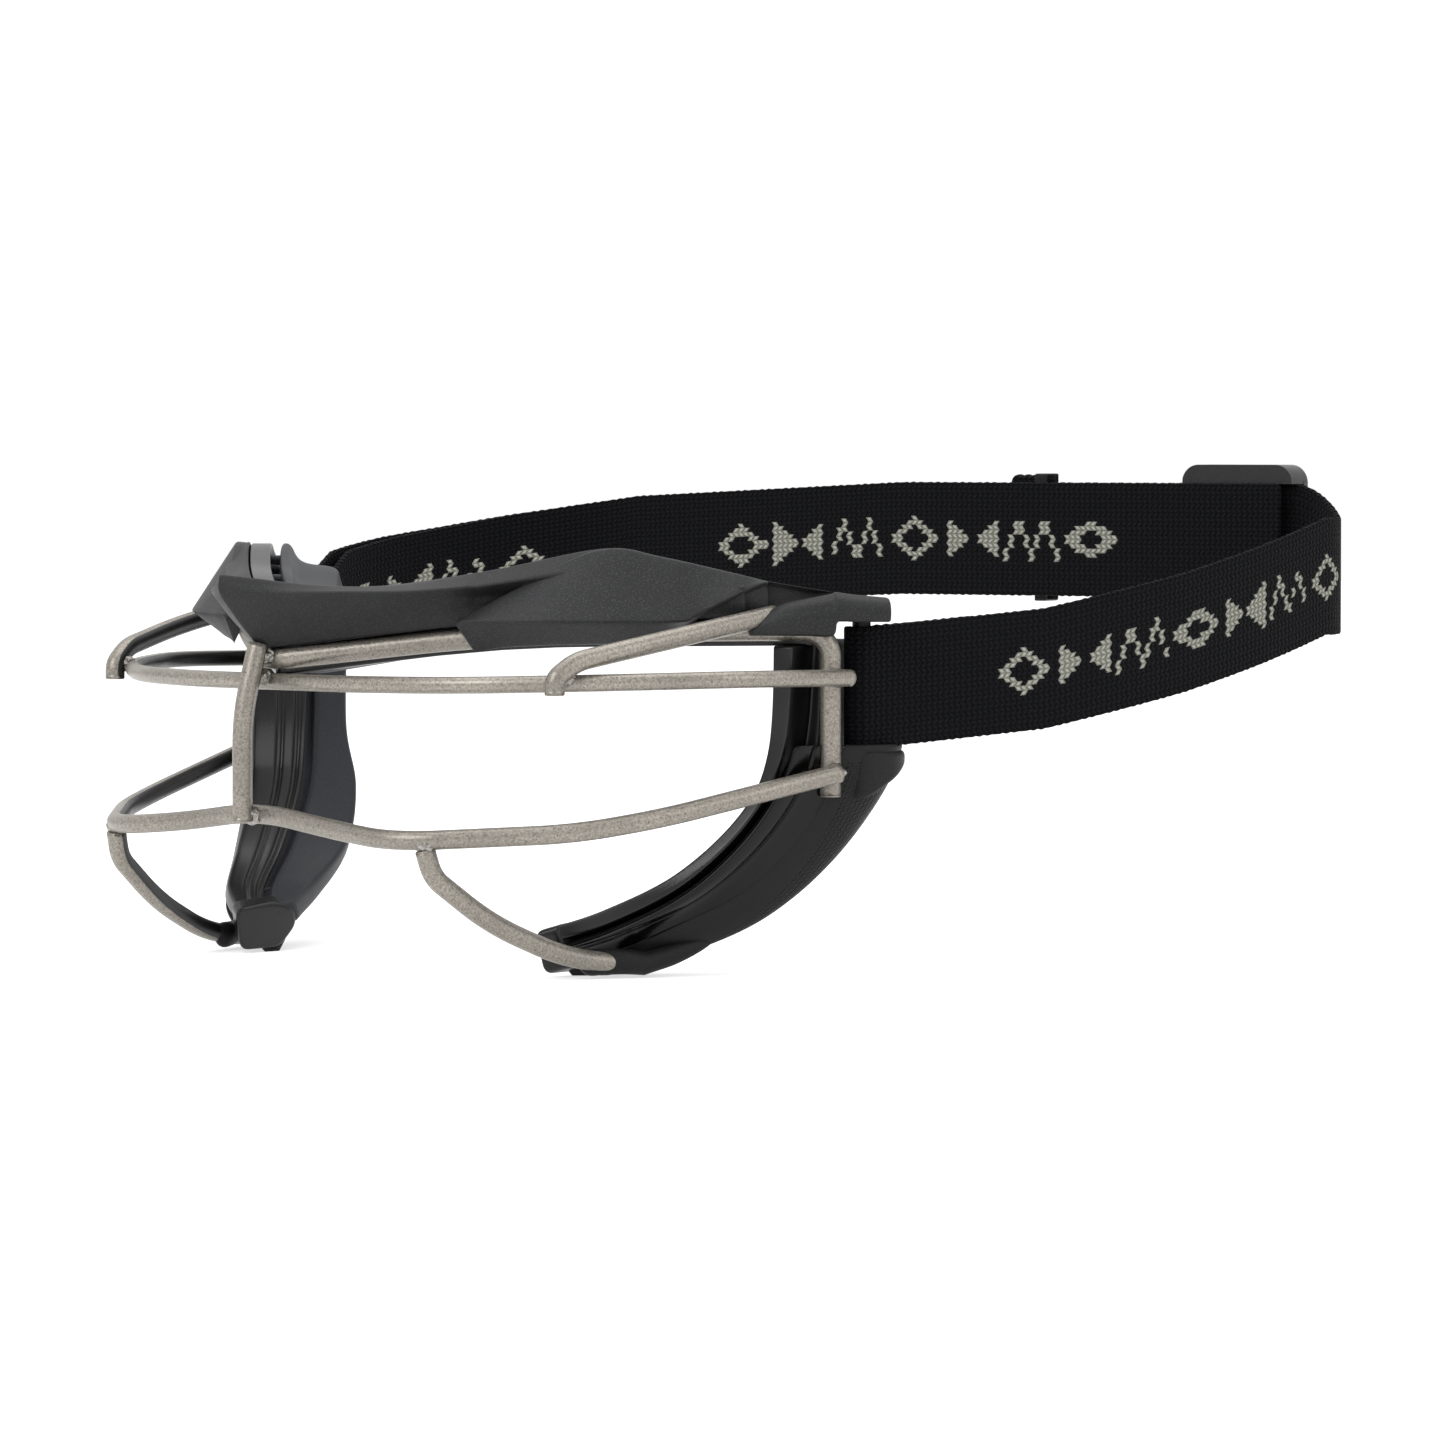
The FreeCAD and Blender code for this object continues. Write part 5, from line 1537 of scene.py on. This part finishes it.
@dataclass
class StrapLoop:
    """Head strap from the left post round the back of the head to the right post and back."""

    layout: Layout
    width: float = 0.0254
    thickness: float = 0.0015
    gap: float = 0.00025
    rise_height: float = 0.0288
    strap_drop: float = 0.001
    headings: tuple = (60.0, 99.5, 195.0, 326.0)
    near_radius: float = 0.180
    rear_radius: float = 0.018
    tab: float = 0.024
    blend: float = 0.034
    level: float = 0.096
    layer: float = 0.0041
    hem_length: float = 0.0065
    hem_thickness: float = 0.0032
    near_rows: tuple = ((0.0, 0.0), (0.33, 0.12), (0.62, 0.36), (0.8, 0.54), (1.0, 0.75))
    far_rows: tuple = (
        (0.0, 0.88), (0.145, 0.806), (0.28, 0.73), (0.43, 0.63), (0.57, 0.55), (0.72, 0.45), (0.92, 0.03),
        (1.0, 0.0),
    )
    turn_start: float = 0.3
    scallop: tuple = (0.00012, 0.0021)
    tail: tuple = (0.0015, 0.0642)
    return_start: float = 0.0015
    return_phase: float = 0.0514
    hem_lift: float = 0.0012
    hem_extra: float = 0.001

    def __post_init__(self) -> None:
        """Find the run's length and the far arc's radius, so that the loop ends at the post."""
        spacing, depth = self.layout.post_spacing, self.layout.post_depth
        near, rear, run, far = self.headings
        start, goal = np.array([spacing, depth]), np.array([-spacing, depth])
        rear_start = start + self.swing(near, rear) * self.near_radius
        run_start = rear_start + self.swing(rear, run) * self.rear_radius
        ahead = np.array([math.cos(math.radians(run)), math.sin(math.radians(run))])
        directions = np.stack([ahead, self.swing(run, far)], axis=1)
        self.run_length, self.far_radius = np.linalg.solve(directions, goal - run_start)
        self.starts = (start, rear_start, run_start, run_start + ahead * self.run_length)
        self.radii = (self.near_radius, self.rear_radius, None, self.far_radius)
        turns = (rear - near, run - rear, 0.0, far - run)
        arcs = zip(turns, self.radii)
        self.lengths = [math.radians(turn) * radius if radius else self.run_length for turn, radius in arcs]
        self.wrap_radius = self.layout.post_diameter / 2 + self.gap + self.thickness / 2

    @staticmethod
    def swing(start: float, end: float) -> np.ndarray:
        """Displacement of a left turn of unit radius between two headings in degrees."""
        first, last = math.radians(start), np.radians(end)
        return np.stack([np.sin(last) - math.sin(first), math.cos(first) - np.cos(last)], axis=-1)

    def height(self, leg: int, share: np.ndarray) -> np.ndarray:
        """Height of the strap's middle at shares of a leg."""
        near, far = np.array(self.near_rows), np.array(self.far_rows)
        level = self.level / self.run_length
        if leg == 0:
            part = np.interp(share, near[:, 0], near[:, 1])
        elif leg == 1:
            turn = np.clip((share - self.turn_start) / (1 - self.turn_start), 0, 1)
            part = near[-1, 1] + (1 - near[-1, 1]) * turn**2 * (3 - 2 * turn)
        elif leg == 2:
            part = 1 + (far[0, 1] - 1) * np.clip((share - level) / (1 - level), 0, None)
        else:
            part = np.interp(share, far[:, 0], far[:, 1])
        return self.rise_height * part - self.strap_drop

    def leg(self, leg: int, share: np.ndarray, out: np.ndarray) -> tuple:
        """Middle points and outward normals at shares of a leg.

        Args:
            leg: number of the leg: near arc, rear turn, far run or far arc.
            share: shares of the leg.
            out: distance outwards from the loop's line.

        Returns:
            Points (n, 3) and normals (n, 3).
        """
        first = self.headings[min(leg, 2)]
        last = self.headings[(1, 2, 2, 3)[leg]]
        heading = first + (last - first) * share
        turn = np.radians(heading)
        ahead = np.stack([np.cos(turn), np.sin(turn)], axis=-1)
        if self.radii[leg] is None:
            plan = self.starts[leg] + ahead * (self.run_length * share)[:, None]
        else:
            plan = self.starts[leg] + self.swing(first, heading) * self.radii[leg]
        normal = np.stack([np.sin(turn), -np.cos(turn), 0 * turn], axis=-1)
        points = np.concatenate([plan, self.height(leg, share)[:, None]], axis=1)
        return points + normal * (out + 0 * share)[:, None] + self.layout.home, normal

    def post_turn(self, leg: int, share: float, count: int = 40) -> tuple:
        """Half turn round the post at one end of the loop, from the outside to the inside."""
        point, normal = self.leg(leg, np.array([share]), np.array([0.0]))
        ahead = np.cross((0.0, 0.0, 1.0), normal[0]) * (1 if share == 0 else -1)
        angle = np.linspace(0, math.pi, count)[:, None]
        spokes = np.cos(angle) * normal[0] - np.sin(angle) * ahead
        return point + spokes * self.wrap_radius, spokes

    def fade(self, length: np.ndarray) -> np.ndarray:
        """Share of the post wrap's radius left at a length from the post."""
        return np.clip(1 - length / self.blend, 0, None) ** 2

    def band(self, name: str, points: np.ndarray, normals: np.ndarray, start: float = 0.0,
             thickness: Optional[float] = None, extra: float = 0.0) -> bpy.types.Object:
        """Band along middle points, with rounded edges and a rounded end at both ends.

        Args:
            name: the piece's name.
            points: middle points (n, 3).
            normals: outward normals (n, 3).
            start: length along the strap at the first point.
            thickness: thickness of the band, else the strap's own.
            extra: how much wider it is than the strap.

        Returns:
            The band.
        """
        length = run_lengths(points)
        place = np.linspace(0, length[-1], max(12, int(length[-1] / 0.0009)))
        points, normals = between(place, length, points), unit(between(place, length, normals))
        half = (thickness or self.thickness) / 2
        depth, period = self.scallop
        edge = (self.width + extra) / 2 - depth * (1 + np.sin(2 * math.pi * place / period))
        up = np.array([0.0, 0.0, 1.0]) * edge[:, None]
        sides = ((-1, -1), (1, -1), (1, 1), (-1, 1))
        corners = np.stack([points + normals * half * out + up * rise for out, rise in sides], axis=1)
        rounding, steps = half * 0.8, 3
        rings = rounded_ends(rounded_rings(corners, rounding, 4, 11), rounding, steps)
        middles = np.concatenate([points[[0] * steps], points, points[[-1] * steps]])
        return grid_piece(name, rings, rings[:, :, 2] - middles[:, None, 2], start)

    def tab_line(self) -> tuple:
        """Middle points and normals of the sewn tab, from its free end to the near post."""
        share = np.linspace(self.tab / self.lengths[0], 0, 60)
        length = share * self.lengths[0]
        laid = self.wrap_radius * self.fade(length) - self.thickness
        part = np.minimum(1, 2 * length / self.tab)
        return self.leg(0, share, -self.wrap_radius + (self.wrap_radius + laid) * part)

    def outer_line(self) -> tuple:
        """Middle points and normals of the strap, round the near post, the head and the far post."""
        share = np.linspace(0, 1, 160)
        turn, spokes = self.post_turn(0, 0.0)
        near = self.wrap_radius * self.fade(share * self.lengths[0])
        left = self.wrap_radius * self.fade((1 - share) * self.lengths[3])
        legs = [
            (turn[::-1], spokes[::-1]), self.leg(0, share, near), self.leg(1, share, np.zeros(1)),
            self.leg(2, share, np.zeros(1)), self.leg(3, share, left), self.post_turn(3, 1.0),
        ]
        return tuple(np.concatenate([leg[part][1:] for leg in legs]) for part in (0, 1))

    def return_line(self) -> tuple:
        """Middle points and normals of the return, from the far post to the slider."""
        share = np.linspace(1, 0, 160)
        left = self.fade((1 - share) * self.lengths[3])
        arc = self.leg(3, share, -self.layer + (self.layer - self.wrap_radius) * left)
        run = self.leg(2, np.linspace(1, self.return_start / self.run_length, 160), np.array([-self.layer]))
        return tuple(np.concatenate([arc[part], run[part][1:]]) for part in (0, 1))

    def stretch(self) -> tuple:
        """Points of the level run at the start and the end of the tail."""
        ends = self.leg(2, np.array(self.tail) / self.run_length, np.zeros(1))[0]
        return tuple(tuple(float(value) for value in point) for point in ends)

    def make(self, cloth: bpy.types.Material, plain: bpy.types.Material) -> list:
        """Build the strap's pieces.

        Args:
            cloth: finish of the strap.
            plain: finish of the tail and its hem.

        Returns:
            The new pieces.
        """
        loop = self.band("strap_loop", *self.outer_line())
        back = self.band("strap_return", *self.return_line(), self.return_phase)
        tail_start, tail_end = self.tail
        place = np.linspace(tail_start, tail_end, 40) / self.run_length
        tail = self.band("strap_tail_look", *self.leg(2, place, np.array([self.thickness + self.gap])))
        edge = 0.4 * self.hem_thickness
        place = np.linspace(tail_end + edge, tail_end + self.hem_length - edge, 12) / self.run_length
        out = np.array([self.thickness / 2 + self.gap + self.hem_thickness / 2])
        line, facing = self.leg(2, place, out)
        line = line + np.array([0, 0, self.hem_lift])
        hem = self.band("strap_hem_look", line, facing, thickness=self.hem_thickness, extra=self.hem_extra)
        outer = ("near_loop", "near_run", "rear_turn", "far_run", "far_slope", "far_turn", "far_loop")
        inner = ("return_turn", "return_slope", "return_run")
        return [
            dress(loop, cloth, *(f"strap_{part}" for part in outer)),
            dress(back, cloth, *(f"strap_{part}" for part in inner), stretch=self.stretch()),
            dress(self.band("strap_tab", *self.tab_line()), plain, "strap_near_tab"),
            dress(tail, plain, "strap_tail", stretch=self.stretch()),
            dress(hem, plain, "strap_hem"),
        ]


@dataclass
class Hardware:
    """Strap posts, slider and keeper ring."""

    layout: Layout
    head: float = 0.0166
    edge_gap: float = 0.0133
    seen_gap: float = 0.0125
    ring_edge: float = 0.0146
    seen_ring: float = 0.0138
    ring_room: float = 0.0129
    close: float = 0.00005

    def drawn_in(self, piece: bpy.types.Object, moves: Sequence) -> bpy.types.Object:
        """Piece whose corners at given distances over the strap's middle lie at new distances.

        Args:
            piece: the piece.
            moves: pairs of an old and a new distance, in metres.

        Returns:
            The same piece.
        """
        low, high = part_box("strap_far_run")
        middle = (low[2] + high[2]) / 2
        for vertex in piece.data.vertices:
            for old, new in moves:
                if abs(vertex.co.z - middle - old) < self.close:
                    vertex.co.z = middle + new
                    break
        return piece

    def make(self, metal: bpy.types.Material, plastic: bpy.types.Material, rubber: bpy.types.Material) -> list:
        """Build the pieces.

        Args:
            metal: finish of the posts.
            plastic: finish of the slider.
            rubber: finish of the keeper.

        Returns:
            The new pieces.
        """
        layout = self.layout
        ends = [[layout.post_spacing, layout.post_depth, height] for height in (layout.post_foot, self.head)]
        post = Wire(np.array(ends) + layout.home, layout.post_diameter)
        inner = ((self.edge_gap, self.seen_gap), (-self.edge_gap, -self.seen_gap))
        slider = bevelled(self.drawn_in(merged_copy("slider", "slider_look"), inner), 0.0007)
        ring = (
            (self.edge_gap, self.ring_room), (-self.edge_gap, -self.ring_room),
            (-self.ring_edge, -self.seen_ring),
        )
        keeper = bevelled(self.drawn_in(merged_copy("keeper_ring", "keeper_ring_look"), ring), 0.0005)
        return [
            *dress_both(grid_piece("strap_post_left_look", post.rings(32)), metal, "strap_post_left"),
            dress(slider, plastic, "slider", body="slider"),
            dress(keeper, rubber, "keeper_ring", body="keeper"),
        ]


@dataclass(frozen=True)
class Lamp:
    """Square soft lamp: how far ahead of, across from and above the goggles it stands."""

    name: str
    ahead: float
    across: float
    height: float
    size: float
    power: float


@dataclass
class Studio:
    """Pale floor, soft lamps and the camera."""

    layout: Layout
    azimuth: float = 46.0
    elevation: float = 2.28
    distance: float = 1.542
    focal_pixels: float = 7465.0
    picture_pixels: float = 1445.0
    sensor: float = 36.0
    target: tuple = (0.06849, 0.06493, -0.0082)
    aim: tuple = (0.0, 0.0, 0.06)
    floor_half: float = 3.0
    floor_light: float = 0.62
    low_light: float = 0.12
    high_light: float = 0.75
    lamps: tuple = (
        Lamp("key", 0.9, -0.9, 1.0, 0.8, 9.0), Lamp("fill", 0.9, 1.1, 0.8, 0.9, 4.0),
        Lamp("top", -0.2, 0.0, 1.5, 1.2, 8.0),
    )

    def seen(self, sheet: NodeSheet) -> Signal:
        """One for camera rays and for those that a surface mirrors or lets through, else zero."""
        path = sheet.add("ShaderNodeLightPath").outputs
        names = ("Is Camera Ray", "Is Glossy Ray", "Is Transmission Ray")
        direct, mirrored, through = (Signal(sheet, path[name]) for name in names)
        return direct.math("MAXIMUM", mirrored.math("MAXIMUM", through))

    def floor(self) -> None:
        """Large pale floor that shows as white and keeps a soft shadow."""
        half = self.floor_half
        mesh = bpy.data.meshes.new("floor")
        corners = [(-half, -half, 0), (half, -half, 0), (half, half, 0), (-half, half, 0)]
        mesh.from_pydata(corners, [], [(0, 1, 2, 3)])
        sheet = NodeSheet.material("floor")
        inputs = sheet.tree.nodes["Principled BSDF"].inputs
        sheet.link(grey(1.0), inputs["Emission Color"])
        sheet.link(self.seen(sheet) * self.floor_light, inputs["Emission Strength"])
        grain = sheet.noise(sheet.coordinates(Coordinates.OBJECT), 40.0)
        mesh.materials.append(sheet.finish(grain.blend(grey(0.82), grey(0.86)), 0.9, shine=0.0))
        placed("floor", mesh)

    def lamp(self, lamp: Lamp) -> None:
        """Lamp at its place as the camera sees it, pointed at the goggles."""
        turn = math.radians(self.azimuth)
        place = Vector((
            math.sin(turn) * lamp.ahead + math.cos(turn) * lamp.across,
            math.sin(turn) * lamp.across - math.cos(turn) * lamp.ahead, lamp.height,
        ))
        data = bpy.data.lights.new(lamp.name, "AREA")
        data.shape, data.size, data.energy = "SQUARE", lamp.size, lamp.power
        light = placed(lamp.name, data)
        light.location = place
        light.rotation_euler = (Vector(self.aim) - place).to_track_quat("-Z", "Y").to_euler()

    def world(self) -> None:
        """White for the rays that see it, and for all others a grey that grows with height."""
        world = bpy.data.worlds.new("world")
        sheet = NodeSheet(world)
        height = sheet.output("ShaderNodeTexCoord", "Generated").split()[2]
        level = height.ramp(-0.1, 0.8, self.low_light, self.high_light, "SMOOTHSTEP")
        background = sheet.tree.nodes["Background"].inputs
        sheet.link(self.seen(sheet) * (1 - level) + level, background["Strength"])
        sheet.link(grey(1.0), background["Color"])
        bpy.context.scene.world = world

    def camera(self) -> None:
        """Camera on the photograph's line of sight, level and far off."""
        turn, tilt = math.radians(self.azimuth), math.radians(self.elevation)
        back = Vector((math.sin(turn) * math.cos(tilt), -math.cos(turn) * math.cos(tilt), math.sin(tilt)))
        data = bpy.data.cameras.new("camera")
        data.sensor_width = self.sensor
        data.lens = self.sensor * self.focal_pixels / self.picture_pixels
        camera = placed("camera", data)
        camera.location = Vector(self.target) + Vector(self.layout.home) + back * self.distance
        camera.rotation_euler = (-back).to_track_quat("-Z", "Y").to_euler()
        bpy.context.scene.camera = camera

    def make(self) -> None:
        """Build the whole set."""
        bpy.context.scene.view_settings.view_transform = "Standard"
        self.floor()
        self.world()
        self.camera()
        for lamp in self.lamps:
            self.lamp(lamp)


def main() -> None:
    """Build the goggles and the set."""
    logging.basicConfig(level=logging.INFO, format="%(message)s")
    layout = Layout()
    metal = CageMetal("cage_metal").make()
    bright = WeldMetal("weld_metal").make()
    shell_skin = MouldedPlastic("moulded_brow", grey(0.02, 0.98, 1.04), grey(0.07, 1.0, 1.05), 0.5).make()
    wing_skin = MouldedPlastic("moulded_wing", grey(0.024, 0.98, 1.04), grey(0.085, 1.0, 1.05), 0.48).make()
    gloss = MouldedPlastic("gloss_frame", grey(0.004), grey(0.008), 0.3, 1800.0, 0.00002, shine=0.4).make()
    pad_colours = (grey(0.034, 0.96, 1.16), grey(0.05, 0.98, 1.1))
    cushion = MouldedPlastic("face_pad", *pad_colours, 0.5, 1500.0, 0.00003).make()
    rubber = DottedRubber("cheek_rubber").make()
    plain_rubber = MouldedPlastic("lug_rubber", grey(0.01, 1.0, 1.05), grey(0.025, 1.0, 1.05), 0.5).make()
    post = MouldedPlastic("post_metal", grey(0.01), grey(0.03), 0.35, 2600.0, 0.00003).make()
    slider_colours = (grey(0.008, 1.0, 1.1), grey(0.02, 1.0, 1.1))
    slider = MouldedPlastic("slider_plastic", *slider_colours, 0.32, 2000.0, 0.00004, shine=0.4).make()
    cloth = Webbing("webbing").make()
    plain_cloth = Webbing("webbing_plain", figured=False).make()
    brow = Brow(layout)
    cage = Cage(layout)
    pieces = cage.make(metal, bright)
    pieces += brow.make(shell_skin, wing_skin)
    pieces += BrowLining(brow).make(gloss, cushion)
    pieces += Cheek(layout).make(gloss, cushion, rubber, plain_rubber, cage.wires["lower_strut_left"])
    pieces += StrapLoop(layout).make(cloth, plain_cloth)
    pieces += Hardware(layout).make(post, slider, plain_rubber)
    Studio(layout).make()
    LOG.info("%d pieces", len(pieces))


if __name__ == "__main__":
    main()
